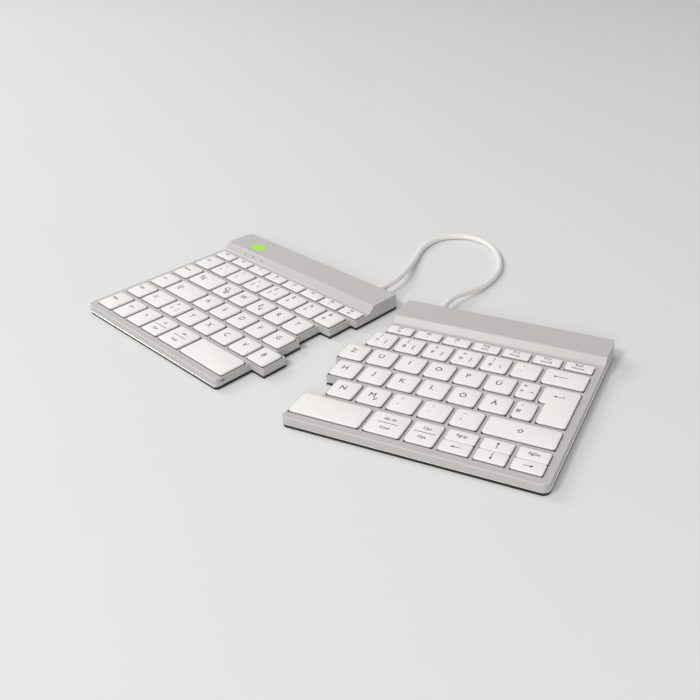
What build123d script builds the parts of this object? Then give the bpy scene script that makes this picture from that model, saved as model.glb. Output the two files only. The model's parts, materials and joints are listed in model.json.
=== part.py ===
from build123d import *
import math
import os

# A two-part ergonomic keyboard. Both halves are drawn in one keyboard frame, as if they stood
# closed together: X runs along the key rows from the left edge of the first digit key, Y runs
# from the bottom key row to the rear, Z is up from the desk. Each half has its own plane, which
# lays that frame on the desk where the half stands, a little turned and drawn apart.

os.makedirs("parts", exist_ok=True)

# Where the halves stand on the desk (mm, degrees)
LEFT_AT = (-20.95, -63.72)
RIGHT_AT = (30.35, -67.28)
HALF_TURN = 9.09

# Key grid
UNIT = 19.0
KEY_SPACE_X = 2.7
KEY_SPACE_Y = 3.6
BOTTOM_ROW_EXTRA = 2.9
FUNCTION_SPACE_Y = 3.3
FUNCTION_DEPTH = 8.0
FUNCTION_PITCH = 19.65
NAVIGATION_SPACE = 0.5

# Widths of the wider and narrower keys, from key line to key line
TAB_WIDTH = 28.5
CAPS_WIDTH = 32.8
SHIFT_LEFT_WIDTH = 23.0
FIRST_MODIFIER_WIDTH = 17.0
SECOND_MODIFIER_WIDTH = 18.5
THIRD_MODIFIER_WIDTH = 19.4
FOURTH_MODIFIER_WIDTH = 24.2
SPACE_LEFT_WIDTH = 46.3
BACKSPACE_WIDTH = 28.5
NARROW_WIDTH = 14.25
SHIFT_RIGHT_WIDTH = 43.5
ALTERNATE_WIDTH = 24.45
CONTROL_WIDTH = 19.35
NAVIGATION_WIDTH = 19.9

# Keycaps
CAP_HEIGHT = 3.2
CAP_ROOF = 1.2
CAP_WALL = 1.1
CAP_CORNER = 1.0
CAP_EDGE = 0.35
KEY_TRAVEL = 1.5
CAP_PROUD = 1.4

# Case
WALL = 0.9
KEY_GAP = 0.3
SIDE_MARGIN = 3.65
FRONT_MARGIN = 5.2
WEB = 1.4
ROOF = 1.2
SLOPE_WALL = 1.7
FOOT_HEIGHT = 0.8
PLATE_THICKNESS = 1.5
KEY_PLANE_RISE = 4.7
DECK_RISE = 4.4
SLOPE_SPACE = 3.8
SLOPE_RUN = 4.4
DECK_DEPTH = 22.3
STEP_ROUND = 1.0
CORNER_ROUND = 4.0
LEFT_REAR_ROUND = 7.0
INNER_CORNER_ROUND = 2.0
SLOPE_FOOT_ROUND = 2.5
SLOPE_EDGE_ROUND = 1.2
REAR_EDGE_ROUND = 1.5
FRONT_EDGE_ROUND = 0.8
PLATE_INSET = 0.4
PLATE_EDGE = 0.4
FIT = 0.25

# Key circuit and dome sheet, whose many domes are drawn with four sides
CIRCUIT_THICKNESS = 0.8
SHEET_THICKNESS = 0.3
DOME_HEIGHT = 2.1
DOME_RADIUS = 2.6
DOME_SIDES = 4
DOME_TAPER = 16

# Feet
FOOT_LENGTH = 14.0
FOOT_WIDTH = 5.0
FOOT_MARGIN = 9.0
FOOT_CORNER = 1.5

# Screws and their posts, drawn as prisms of a few sides
SCREW_SIDES = 8
SCREW_RADIUS = 1.0
SCREW_HEAD_RADIUS = 1.8
SCREW_HEAD_HEIGHT = 0.8
SCREW_LENGTH = 4.4
SCREW_HOLE_GAP = 0.1
BOSS_RADIUS = 2.0
SCREW_END_MARGIN = 14.0

# Lights on the left deck
LENS_LENGTH = 11.0
LENS_WIDTH = 7.6
LENS_X = 5.2
LENS_FROM_REAR = 13.8
LENS_STEM_RADIUS = 1.5
LENS_GAP = 0.1
INDICATOR_RADIUS = 0.8
INDICATOR_PITCH = 9.6
INDICATOR_X = 1.4
INDICATOR_COUNT = 3
INDICATOR_SIDES = 8

# Controller board, battery and charging inlet
BOARD_THICKNESS = 1.2
BOARD_LENGTH = 96.0
BOARD_FROM_END = 14.0
CHIP_SIZE = 7.0
CHIP_HEIGHT = 1.0
CHIP_PITCH = 16.0
BATTERY_LENGTH = 62.0
BATTERY_HEIGHT = 5.4
BATTERY_GAP = 1.2
BATTERY_X = 216.0
INLET_WIDTH = 8.9
INLET_HEIGHT = 3.2
INLET_LENGTH = 7.4
INLET_WALL = 0.35
INLET_TONGUE = 0.7
INLET_X = 38.0

# Small slot in the inner end of the left half
END_SLOT_LENGTH = 3.0
END_SLOT_HEIGHT = 1.2
END_SLOT_FROM_FRONT = 5.2
END_SLOT_RISE = 2.6

# Joining cord and its strain reliefs
CORD_RADIUS = 2.1
CORD_EXIT_Z = 7.0
LEFT_EXIT_X = 118.0
RIGHT_EXIT_X = 160.5
RELIEF_LENGTH = 8.5
RELIEF_ROOT_RADIUS = 3.6
RELIEF_TIP_RADIUS = 2.6
RELIEF_NECK_RADIUS = 2.8
RELIEF_FLANGE_RADIUS = 3.1
RELIEF_FLANGE_THICKNESS = 1.2
CORD_LEAD = 10.8
ARC_SHARE = 0.45

# How far a cut runs past the solid that it cuts
OVERRUN = 2.0


# Heights above the desk
plate_z = FOOT_HEIGHT
shell_z = plate_z + PLATE_THICKNESS
key_plane_z = shell_z + KEY_PLANE_RISE
deck_z = key_plane_z + DECK_RISE
cap_top_z = key_plane_z + CAP_PROUD
cap_bottom_z = cap_top_z - CAP_HEIGHT
web_z = key_plane_z - WEB
roof_z = deck_z - ROOF
sheet_z = shell_z + CIRCUIT_THICKNESS

# Key lines: where the two halves part in each row, from the bottom row to the function row
keys_left = -UNIT
bottom_split = (
    FIRST_MODIFIER_WIDTH
    + SECOND_MODIFIER_WIDTH
    + THIRD_MODIFIER_WIDTH
    + FOURTH_MODIFIER_WIDTH
    + SPACE_LEFT_WIDTH
)
lower_split = SHIFT_LEFT_WIDTH + 6 * UNIT
home_split = CAPS_WIDTH + 5 * UNIT
upper_split = TAB_WIDTH + 5 * UNIT
digit_split = 7 * UNIT
function_split = keys_left + 8 * FUNCTION_PITCH
keys_right = digit_split + 6 * UNIT + BACKSPACE_WIDTH

# Front and rear edges of the caps in each row
key_half = (UNIT - KEY_SPACE_Y) / 2
bottom_row = (-key_half - BOTTOM_ROW_EXTRA, key_half)
lower_row = (UNIT - key_half, UNIT + key_half)
home_row = (2 * UNIT - key_half, 2 * UNIT + key_half)
upper_row = (3 * UNIT - key_half, 3 * UNIT + key_half)
digit_row = (4 * UNIT - key_half, 4 * UNIT + key_half)
function_front = digit_row[1] + FUNCTION_SPACE_Y
function_row = (function_front, function_front + FUNCTION_DEPTH)
rows = [bottom_row, lower_row, home_row, upper_row, digit_row, function_row]
splits = [bottom_split, lower_split, home_split, upper_split, digit_split, function_split]

# Case edges
rim = WALL + KEY_GAP
case_front = bottom_row[0] - FRONT_MARGIN
slope_foot_y = function_row[1] + SLOPE_SPACE
deck_edge_y = slope_foot_y + SLOPE_RUN
case_rear = deck_edge_y + DECK_DEPTH
case_left = keys_left - SIDE_MARGIN
case_right = keys_right + SIDE_MARGIN
slope_ratio = SLOPE_RUN / DECK_RISE

# How far the flats of a screw's prism lie from its axis, as a share of its radius
flat_share = math.cos(math.pi / SCREW_SIDES)


def half_plane(at, turn):
    """The desk plane of one half, whose local X and Y are the keyboard's own."""
    along = Vector(math.cos(math.radians(turn)), math.sin(math.radians(turn)))
    start = Vector(*at) - along * digit_split
    return Plane(origin=start, x_dir=along, z_dir=(0, 0, 1))


left_half = half_plane(LEFT_AT, -HALF_TURN)
right_half = half_plane(RIGHT_AT, HALF_TURN)


def side_plane(half):
    """The upright plane that looks along a half's rows: local X runs to the rear, local Y up."""
    return Plane(origin=half.origin, x_dir=half.y_dir, z_dir=half.x_dir)


def facing(half, x, y, z, z_dir):
    """A plane at a point of a half, whose normal is z_dir."""
    return Plane(origin=half.from_local_coords(Vector(x, y, z)), x_dir=half.x_dir, z_dir=z_dir)


def cells_from(start, widths, row):
    """Cap rectangles (x0, x1, y0, y1) of keys that stand side by side from one key line."""
    cells = []
    for width in widths:
        end = start + width
        cells.append((start + KEY_SPACE_X / 2, end - KEY_SPACE_X / 2, *row))
        start = end
    return cells


def cell_outline(cell, grow=0.0):
    """Corner points of a cap, counterclockwise, grown all round by one distance."""
    if len(cell) == 4:
        x0, x1, y0, y1 = cell
        points = [(x0, y0), (x1, y0), (x1, y1), (x0, y1)]
        outward = [(-1, -1), (1, -1), (1, 1), (-1, 1)]
    else:
        lower_x, upper_x, x1, y0, step_y, y1 = cell
        points = [
            (lower_x, y0),
            (x1, y0),
            (x1, y1),
            (upper_x, y1),
            (upper_x, step_y),
            (lower_x, step_y),
        ]
        outward = [(-1, -1), (1, -1), (1, 1), (-1, 1), (-1, -1), (-1, -1)]
    return [(x + i * grow, y + j * grow) for (x, y), (i, j) in zip(points, outward)]


# Key rows of the left half
letter = [UNIT] * 5
left_function = cells_from(keys_left, [FUNCTION_PITCH] * 8, function_row)
left_digits = cells_from(keys_left, [UNIT] * 8, digit_row)
left_upper = cells_from(keys_left, [UNIT, TAB_WIDTH] + letter, upper_row)
left_home = cells_from(keys_left, [UNIT, CAPS_WIDTH] + letter, home_row)
left_lower = cells_from(keys_left, [UNIT, SHIFT_LEFT_WIDTH, UNIT] + letter, lower_row)
left_bottom = cells_from(
    keys_left,
    [
        UNIT,
        FIRST_MODIFIER_WIDTH,
        SECOND_MODIFIER_WIDTH,
        THIRD_MODIFIER_WIDTH,
        FOURTH_MODIFIER_WIDTH,
        SPACE_LEFT_WIDTH,
    ],
    bottom_row,
)

# Key rows of the right half
right_function_pitch = (keys_right - function_split) / 7
right_function = cells_from(function_split, [right_function_pitch] * 7, function_row)
right_digits = cells_from(digit_split, [UNIT] * 6 + [BACKSPACE_WIDTH], digit_row)
right_upper = cells_from(upper_split, [UNIT] * 6 + [NARROW_WIDTH], upper_row)
right_home = cells_from(home_split, [UNIT] * 6 + [NARROW_WIDTH], home_row)
right_lower = cells_from(lower_split, [UNIT] * 5 + [SHIFT_RIGHT_WIDTH], lower_row)
navigation_start = keys_right - 3 * NAVIGATION_WIDTH
control_start = navigation_start - CONTROL_WIDTH
alternate_start = control_start - ALTERNATE_WIDTH
right_bottom = cells_from(
    bottom_split,
    [alternate_start - bottom_split, ALTERNATE_WIDTH, CONTROL_WIDTH],
    bottom_row,
)
navigation_depth = (bottom_row[1] - bottom_row[0] - NAVIGATION_SPACE) / 2
navigation_rows = [
    (bottom_row[0], bottom_row[0] + navigation_depth),
    (bottom_row[1] - navigation_depth, bottom_row[1]),
]
right_navigation = []
for row in navigation_rows:
    right_navigation += cells_from(navigation_start, [NAVIGATION_WIDTH] * 3, row)

# The enter key spans two rows and steps round the narrow key in front of it
enter_cell = (
    right_home[-1][1] + KEY_SPACE_X,
    right_upper[-1][1] + KEY_SPACE_X,
    keys_right - KEY_SPACE_X / 2,
    home_row[0],
    upper_row[0],
    upper_row[1],
)

left_cells = left_function + left_digits + left_upper + left_home + left_lower + left_bottom
right_cells = (
    right_function
    + right_digits
    + right_upper
    + right_home
    + right_lower
    + right_bottom
    + right_navigation
    + [enter_cell]
)


def stepped_edge(side):
    """Points of a half's inner edge from front to rear. Side is 1 on the left half, whose keys
    stand on the low X side of the line between the halves, and -1 on the right half."""
    edge_x = [split + side * (rim - KEY_SPACE_X / 2) for split in splits]
    points = [(edge_x[0], case_front)]
    for i in range(len(rows) - 1):
        if side * edge_x[i] > side * edge_x[i + 1]:
            y = rows[i][1] + rim
        else:
            y = rows[i + 1][0] - rim
        points += [(edge_x[i], y), (edge_x[i + 1], y)]
    points.append((edge_x[-1], case_rear))
    return points


def half_outline(side):
    """The case outline of one half, seen from above."""
    outer_x = case_left if side == 1 else case_right
    return stepped_edge(side) + [(outer_x, case_rear), (outer_x, case_front)]


def end_corners(side):
    """The four corners at the ends of a half, each with its radius."""
    front_inner, *_, rear_inner, rear_outer, front_outer = half_outline(side)
    rear_round = LEFT_REAR_ROUND if side == 1 else CORNER_ROUND
    return [
        (front_inner, INNER_CORNER_ROUND),
        (rear_inner, INNER_CORNER_ROUND),
        (rear_outer, rear_round),
        (front_outer, CORNER_ROUND),
    ]


def step_corners(side):
    """The corners where the rows step, each with its radius."""
    return [(point, STEP_ROUND) for point in stepped_edge(side)[1:-1]]


def outline_prism(half, side, inset, corners, z0, z1):
    """A solid block with a half's outline, drawn in all round by an inset."""
    with BuildPart() as block:
        with BuildSketch(half.offset(z0)) as outline:
            with BuildLine():
                Polyline(*half_outline(side), close=True)
            make_face()
            if inset > 0:
                offset(amount=-inset, kind=Kind.INTERSECTION, mode=Mode.REPLACE)
            for point, radius in corners:
                corner = outline.vertices().sort_by_distance(Vector(*point))[0]
                fillet(corner, radius=radius - inset)
        extrude(amount=z1 - z0)
    return block.part


def across(half, profile, rounds):
    """A solid with a front-to-rear profile, swept across the whole width of the keyboard."""
    with BuildPart() as bar:
        with BuildSketch(side_plane(half).offset(case_left - OVERRUN)) as section:
            with BuildLine():
                Polyline(*profile, close=True)
            make_face()
            for point, radius in rounds:
                corner = section.vertices().sort_by_distance(Vector(*point))[0]
                fillet(corner, radius=radius)
        extrude(amount=case_right - case_left + 2 * OVERRUN)
    return bar.part


def shell_blank(half, side):
    """The moulded top case of one half with its cavity and key openings."""
    front_top = (case_front, key_plane_z)
    slope_foot = (slope_foot_y, key_plane_z)
    deck_edge = (deck_edge_y, deck_z)
    rear_top = (case_rear, deck_z)
    outer = [(case_front, shell_z), front_top, slope_foot, deck_edge, rear_top]
    outer.append((case_rear, shell_z))
    outer_rounds = [
        (front_top, FRONT_EDGE_ROUND),
        (slope_foot, SLOPE_FOOT_ROUND),
        (deck_edge, SLOPE_EDGE_ROUND),
        (rear_top, REAR_EDGE_ROUND),
    ]
    inner_foot_y = slope_foot_y + (SLOPE_WALL - WEB) * slope_ratio
    inner_edge_y = deck_edge_y + (SLOPE_WALL - ROOF) * slope_ratio
    inner = [
        (case_front, shell_z - OVERRUN),
        (case_front, web_z),
        (inner_foot_y, web_z),
        (inner_edge_y, roof_z),
        (case_rear, roof_z),
        (case_rear, shell_z - OVERRUN),
    ]
    all_corners = end_corners(side) + step_corners(side)
    outside = outline_prism(half, side, 0, all_corners, shell_z, deck_z)
    inside = outline_prism(half, side, WALL, end_corners(side), shell_z - OVERRUN, deck_z)
    with BuildPart() as cavity:
        add(inside)
        add(across(half, inner, []), mode=Mode.INTERSECT)
    with BuildPart() as blank:
        add(outside)
        add(across(half, outer, outer_rounds), mode=Mode.INTERSECT)
        add(cavity.part, mode=Mode.SUBTRACT)
        with BuildSketch(half.offset(web_z - OVERRUN)):
            for cell in left_cells if side == 1 else right_cells:
                with BuildLine():
                    Polyline(*cell_outline(cell, KEY_GAP), close=True)
                make_face()
        extrude(amount=WEB + 2 * OVERRUN, mode=Mode.SUBTRACT)
    return blank.part


def screw_places(side):
    """Screws stand in the front margin and under the deck, clear of the keys. The corners of the
    front posts reach a little way into the front wall."""
    front_y = case_front + WALL + BOSS_RADIUS * flat_share
    rear_y = (deck_edge_y + case_rear) / 2
    if side == 1:
        ends = (case_left + SCREW_END_MARGIN, bottom_split - SCREW_END_MARGIN)
        rear_ends = (case_left + SCREW_END_MARGIN / 2, function_split - SCREW_END_MARGIN / 2)
    else:
        ends = (bottom_split + SCREW_END_MARGIN, case_right - SCREW_END_MARGIN)
        rear_ends = (function_split + SCREW_END_MARGIN / 2, case_right - SCREW_END_MARGIN / 2)
    front = [(x, front_y, web_z) for x in ends]
    rear = [(x, rear_y, roof_z) for x in rear_ends]
    return front + rear


def screw_bosses(half, side):
    """The posts inside the shell that the screws go into."""
    with BuildPart() as bosses:
        for x, y, top in screw_places(side):
            with BuildSketch(half.offset(shell_z)):
                with Locations((x, y)):
                    RegularPolygon(BOSS_RADIUS, SCREW_SIDES)
            extrude(amount=top - shell_z)
    return bosses.part


def pilot_holes(half, side):
    """The holes in the bosses, cut to the depth of the screws."""
    with BuildPart() as holes:
        with BuildSketch(half.offset(shell_z)):
            with Locations(*[(x, y) for x, y, _ in screw_places(side)]):
                RegularPolygon(SCREW_RADIUS, SCREW_SIDES)
        extrude(amount=SCREW_LENGTH - PLATE_THICKNESS + SCREW_HOLE_GAP)
    return holes.part


def relief_hole(half, x):
    """The round hole for a strain relief through the rear wall."""
    with BuildPart() as hole:
        with BuildSketch(facing(half, x, case_rear + OVERRUN, CORD_EXIT_Z, half.y_dir)):
            Circle(RELIEF_NECK_RADIUS)
        extrude(amount=-(WALL + 2 * OVERRUN))
    return hole.part


# Left top shell, with the windows for its lights, the charging inlet and the end slot
lens_y = case_rear - LENS_FROM_REAR
indicator_y = (slope_foot_y + deck_edge_y) / 2
indicator_xs = [INDICATOR_X + i * INDICATOR_PITCH for i in range(INDICATOR_COUNT)]
board_top = shell_z + BOARD_THICKNESS
inlet_z = board_top + INLET_HEIGHT / 2
left_inner_x = bottom_split + rim - KEY_SPACE_X / 2

with BuildPart() as top_shell_left:
    add(shell_blank(left_half, 1))
    add(screw_bosses(left_half, 1))
    add(pilot_holes(left_half, 1), mode=Mode.SUBTRACT)
    add(relief_hole(left_half, LEFT_EXIT_X), mode=Mode.SUBTRACT)
    with BuildSketch(left_half.offset(roof_z - OVERRUN)):
        with Locations((LENS_X, lens_y)):
            Ellipse(LENS_LENGTH / 2 + LENS_GAP, LENS_WIDTH / 2 + LENS_GAP)
    extrude(amount=ROOF + 2 * OVERRUN, mode=Mode.SUBTRACT)
    with BuildSketch(left_half.offset(web_z)):
        with Locations(*[(x, indicator_y) for x in indicator_xs]):
            RegularPolygon(INDICATOR_RADIUS + LENS_GAP, INDICATOR_SIDES)
    extrude(amount=DECK_RISE + 2 * OVERRUN, mode=Mode.SUBTRACT)
    with BuildSketch(facing(left_half, INLET_X, case_rear + OVERRUN, inlet_z, left_half.y_dir)):
        SlotOverall(INLET_WIDTH + 2 * LENS_GAP, INLET_HEIGHT + 2 * LENS_GAP)
    extrude(amount=-(WALL + 2 * OVERRUN), mode=Mode.SUBTRACT)
    end_slot_y = case_front + END_SLOT_FROM_FRONT
    with BuildSketch(
        Plane(
            origin=left_half.from_local_coords(
                Vector(left_inner_x - WALL - OVERRUN, end_slot_y, shell_z + END_SLOT_RISE)
            ),
            x_dir=left_half.y_dir,
            z_dir=left_half.x_dir,
        )
    ):
        SlotOverall(END_SLOT_LENGTH, END_SLOT_HEIGHT)
    extrude(amount=WALL + 2 * OVERRUN, mode=Mode.SUBTRACT)
top_shell_left.part.label = "top_shell_left"
export_step(top_shell_left.part, "parts/top_shell_left.step")

# Right top shell
with BuildPart() as top_shell_right:
    add(shell_blank(right_half, -1))
    add(screw_bosses(right_half, -1))
    add(pilot_holes(right_half, -1), mode=Mode.SUBTRACT)
    add(relief_hole(right_half, RIGHT_EXIT_X), mode=Mode.SUBTRACT)
top_shell_right.part.label = "top_shell_right"
export_step(top_shell_right.part, "parts/top_shell_right.step")


def screw_bodies(half, side, grow):
    """Countersunk screws, set into the underside of the base plate and grown by a gap."""
    places = [(x, y) for x, y, _ in screw_places(side)]
    with BuildPart() as group:
        with BuildSketch(half.offset(plate_z)):
            with Locations(*places):
                RegularPolygon(SCREW_RADIUS + grow, SCREW_SIDES)
        extrude(amount=SCREW_LENGTH)
        with BuildSketch(half.offset(plate_z)):
            with Locations(*places):
                RegularPolygon(SCREW_HEAD_RADIUS + grow, SCREW_SIDES)
        extrude(amount=SCREW_HEAD_HEIGHT, taper=sink_angle)
    return group.part


def base_plate(half, side):
    """The thin steel plate under one half, with a rolled edge and countersunk screw holes."""
    with BuildPart() as plate:
        add(outline_prism(half, side, PLATE_INSET, end_corners(side), plate_z, shell_z))
        levels = plate.edges().group_by(Axis.Z)
        chamfer(levels[0] + levels[-1], length=PLATE_EDGE)
        add(screw_bodies(half, side, SCREW_HOLE_GAP), mode=Mode.SUBTRACT)
    return plate.part


# The slope of the screw head, measured on the flats of its prism
head_run = (SCREW_HEAD_RADIUS - SCREW_RADIUS) * flat_share
sink_angle = math.degrees(math.atan(head_run / SCREW_HEAD_HEIGHT))

with BuildPart() as base_plate_left:
    add(base_plate(left_half, 1))
base_plate_left.part.label = "base_plate_left"
export_step(base_plate_left.part, "parts/base_plate_left.step")

with BuildPart() as base_plate_right:
    add(base_plate(right_half, -1))
base_plate_right.part.label = "base_plate_right"
export_step(base_plate_right.part, "parts/base_plate_right.step")


with BuildPart() as screws_left:
    add(screw_bodies(left_half, 1, 0))
screws_left.part.label = "screws_left"
export_step(screws_left.part, "parts/screws_left.step")

with BuildPart() as screws_right:
    add(screw_bodies(right_half, -1, 0))
screws_right.part.label = "screws_right"
export_step(screws_right.part, "parts/screws_right.step")


def feet(half, side):
    """Soft pads stuck under the corners of a base plate."""
    outer_x = case_left if side == 1 else case_right
    rows_y = (case_front + FOOT_MARGIN, case_rear - FOOT_MARGIN)
    inner_xs = (bottom_split, function_split)
    places = []
    for y, inner_x in zip(rows_y, inner_xs):
        places.append((outer_x + side * (FOOT_MARGIN + FOOT_LENGTH / 2), y))
        places.append((inner_x - side * (FOOT_MARGIN + FOOT_LENGTH / 2), y))
    with BuildPart() as group:
        with BuildSketch(half):
            with Locations(*places):
                Rectangle(FOOT_LENGTH, FOOT_WIDTH)
            chamfer(vertices(), length=FOOT_CORNER)
        extrude(amount=FOOT_HEIGHT)
    return group.part


with BuildPart() as feet_left:
    add(feet(left_half, 1))
feet_left.part.label = "feet_left"
export_step(feet_left.part, "parts/feet_left.step")

with BuildPart() as feet_right:
    add(feet(right_half, -1))
feet_right.part.label = "feet_right"
export_step(feet_right.part, "parts/feet_right.step")


def key_field(side):
    """The stepped field under the keys of one half, clear of the walls and the screw bosses."""
    edge = [(x - side * (WALL + FIT), y) for x, y in stepped_edge(side)]
    outer_x = (case_left if side == 1 else case_right) + side * (WALL + FIT)
    front = case_front + WALL + 2 * BOSS_RADIUS + FIT
    rear = slope_foot_y
    edge[0] = (edge[0][0], front)
    edge[-1] = (edge[-1][0], rear)
    for i in range(1, len(edge) - 1, 2):
        shift = FIT + WALL
        inward = side * (edge[i + 1][0] - edge[i][0]) < 0
        y = edge[i][1] - shift if inward else edge[i][1] + shift
        edge[i] = (edge[i][0], y)
        edge[i + 1] = (edge[i + 1][0], y)
    return edge + [(outer_x, rear), (outer_x, front)]


def key_circuit(half, side):
    """The stiff sheet with the key contacts, which lies on the base plate."""
    with BuildPart() as sheet:
        with BuildSketch(half.offset(shell_z)):
            with BuildLine():
                Polyline(*key_field(side), close=True)
            make_face()
        extrude(amount=CIRCUIT_THICKNESS)
    return sheet.part


def dome_sheet(half, side):
    """One silicone sheet with a dome under each key."""
    centres = []
    for cell in left_cells if side == 1 else right_cells:
        if len(cell) == 4:
            x0, x1, y0, y1 = cell
        else:
            x0, _, x1, y0, _, y1 = cell
        centres.append(((x0 + x1) / 2, (y0 + y1) / 2))
    with BuildPart() as sheet:
        with BuildSketch(half.offset(sheet_z)):
            with BuildLine():
                Polyline(*key_field(side), close=True)
            make_face()
        extrude(amount=SHEET_THICKNESS)
        with BuildSketch(half.offset(sheet_z + SHEET_THICKNESS)):
            with Locations(*centres):
                RegularPolygon(DOME_RADIUS, DOME_SIDES)
        extrude(amount=DOME_HEIGHT, taper=DOME_TAPER)
    return sheet.part


with BuildPart() as key_circuit_left:
    add(key_circuit(left_half, 1))
key_circuit_left.part.label = "key_circuit_left"
export_step(key_circuit_left.part, "parts/key_circuit_left.step")

with BuildPart() as key_circuit_right:
    add(key_circuit(right_half, -1))
key_circuit_right.part.label = "key_circuit_right"
export_step(key_circuit_right.part, "parts/key_circuit_right.step")

with BuildPart() as dome_sheet_left:
    add(dome_sheet(left_half, 1))
dome_sheet_left.part.label = "dome_sheet_left"
export_step(dome_sheet_left.part, "parts/dome_sheet_left.step")

with BuildPart() as dome_sheet_right:
    add(dome_sheet(right_half, -1))
dome_sheet_right.part.label = "dome_sheet_right"
export_step(dome_sheet_right.part, "parts/dome_sheet_right.step")


# Controller board under the left deck, with its chips
board_front = slope_foot_y + FIT
board_rear = case_rear - WALL - FIT
board_start = case_left + BOARD_FROM_END
board_middle = ((2 * board_start + BOARD_LENGTH) / 2, (board_front + board_rear) / 2)
with BuildPart() as controller_board:
    with BuildSketch(left_half.offset(shell_z)):
        with Locations(board_middle):
            Rectangle(BOARD_LENGTH, board_rear - board_front)
    extrude(amount=BOARD_THICKNESS)
    with BuildSketch(left_half.offset(board_top)):
        with Locations(
            (board_middle[0], board_middle[1]),
            (board_middle[0] + CHIP_PITCH, board_middle[1]),
        ):
            Rectangle(CHIP_SIZE, CHIP_SIZE)
    extrude(amount=CHIP_HEIGHT)
controller_board.part.label = "controller_board"
export_step(controller_board.part, "parts/controller_board.step")

# Charging inlet: a thin metal sleeve with a tongue, on the board at the rear wall
inlet_back_y = case_rear - INLET_LENGTH
with BuildPart() as charging_inlet:
    with BuildSketch(facing(left_half, INLET_X, inlet_back_y, inlet_z, left_half.y_dir)):
        SlotOverall(INLET_WIDTH, INLET_HEIGHT)
    extrude(amount=INLET_LENGTH)
    with BuildSketch(facing(left_half, INLET_X, case_rear, inlet_z, left_half.y_dir)):
        SlotOverall(INLET_WIDTH - 2 * INLET_WALL, INLET_HEIGHT - 2 * INLET_WALL)
        Rectangle(
            INLET_WIDTH - INLET_HEIGHT,
            INLET_TONGUE,
            mode=Mode.SUBTRACT,
        )
    extrude(amount=-(INLET_LENGTH - RELIEF_FLANGE_THICKNESS), mode=Mode.SUBTRACT)
charging_inlet.part.label = "charging_inlet"
export_step(charging_inlet.part, "parts/charging_inlet.step")

# Status light: an oval lens flush with the deck, on a light guide that stands on the board
with BuildPart() as status_light:
    with BuildSketch(left_half.offset(roof_z)):
        with Locations((LENS_X, lens_y)):
            Ellipse(LENS_LENGTH / 2, LENS_WIDTH / 2)
    extrude(amount=ROOF)
    with BuildSketch(left_half.offset(board_top)):
        with Locations((LENS_X, lens_y)):
            Circle(LENS_STEM_RADIUS)
    extrude(amount=roof_z - board_top)
status_light.part.label = "status_light"
export_step(status_light.part, "parts/status_light.step")

# Indicator lights: three light guides that end flush with the slope in front of the deck
slope_face = [
    (slope_foot_y, key_plane_z),
    (deck_edge_y, deck_z),
    (deck_edge_y, board_top),
    (slope_foot_y, board_top),
]
with BuildPart() as indicator_lights:
    with BuildSketch(left_half.offset(board_top)):
        with Locations(*[(x, indicator_y) for x in indicator_xs]):
            RegularPolygon(INDICATOR_RADIUS, INDICATOR_SIDES)
    extrude(amount=deck_z - board_top)
    add(across(left_half, slope_face, []), mode=Mode.INTERSECT)
indicator_lights.part.label = "indicator_lights"
export_step(indicator_lights.part, "parts/indicator_lights.step")

# Battery pack under the right deck
battery_front = deck_edge_y + BATTERY_GAP
battery_rear = board_rear - BATTERY_GAP
with BuildPart() as battery_pack:
    with BuildSketch(right_half.offset(shell_z)):
        with Locations((BATTERY_X, (battery_front + battery_rear) / 2)):
            Rectangle(BATTERY_LENGTH, battery_rear - battery_front)
    extrude(amount=BATTERY_HEIGHT)
battery_pack.part.label = "battery_pack"
export_step(battery_pack.part, "parts/battery_pack.step")


def strain_relief(half, x):
    """A flange inside the rear wall, a neck through it and a tapered sleeve behind it."""
    centre = half.from_local_coords(Vector(x, case_rear, CORD_EXIT_Z))
    flange_y = -WALL - RELIEF_FLANGE_THICKNESS
    profile = [
        (flange_y, 0),
        (flange_y, RELIEF_FLANGE_RADIUS),
        (-WALL, RELIEF_FLANGE_RADIUS),
        (-WALL, RELIEF_NECK_RADIUS),
        (0, RELIEF_NECK_RADIUS),
        (0, RELIEF_ROOT_RADIUS),
        (RELIEF_LENGTH, RELIEF_TIP_RADIUS),
        (RELIEF_LENGTH, 0),
    ]
    with BuildPart() as relief:
        with BuildSketch(Plane(origin=centre, x_dir=half.y_dir, z_dir=half.x_dir)):
            with BuildLine():
                Polyline(*profile, close=True)
            make_face()
        revolve(axis=Axis(centre, half.y_dir))
    return relief.part


with BuildPart() as strain_relief_left:
    add(strain_relief(left_half, LEFT_EXIT_X))
strain_relief_left.part.label = "strain_relief_left"
export_step(strain_relief_left.part, "parts/strain_relief_left.step")

with BuildPart() as strain_relief_right:
    add(strain_relief(right_half, RIGHT_EXIT_X))
strain_relief_right.part.label = "strain_relief_right"
export_step(strain_relief_right.part, "parts/strain_relief_right.step")

# Joining cord. It leaves each relief straight, comes down to the desk and lies there in one
# loose loop behind the halves.
relief_end_y = case_rear + RELIEF_LENGTH
lead_end_y = relief_end_y + CORD_LEAD
cord_start = left_half.from_local_coords(Vector(LEFT_EXIT_X, relief_end_y, CORD_EXIT_Z))
cord_end = right_half.from_local_coords(Vector(RIGHT_EXIT_X, relief_end_y, CORD_EXIT_Z))
cord_points = [
    tuple(cord_start),
    tuple(left_half.from_local_coords(Vector(LEFT_EXIT_X, lead_end_y, CORD_EXIT_Z))),
    (-17.5, 101.8, 5.0),
    (-25.6, 124.2, 2.4),
    (-34.0, 148.0, 2.2),
    (-31.9, 170.4, 2.2),
    (-14.0, 183.8, 2.2),
    (8.0, 179.6, 2.2),
    (26.6, 163.5, 2.2),
    (39.1, 141.8, 2.2),
    (41.8, 116.6, 2.2),
    (37.6, 94.4, 5.0),
    tuple(right_half.from_local_coords(Vector(RIGHT_EXIT_X, lead_end_y, CORD_EXIT_Z))),
    tuple(cord_end),
]


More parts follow.
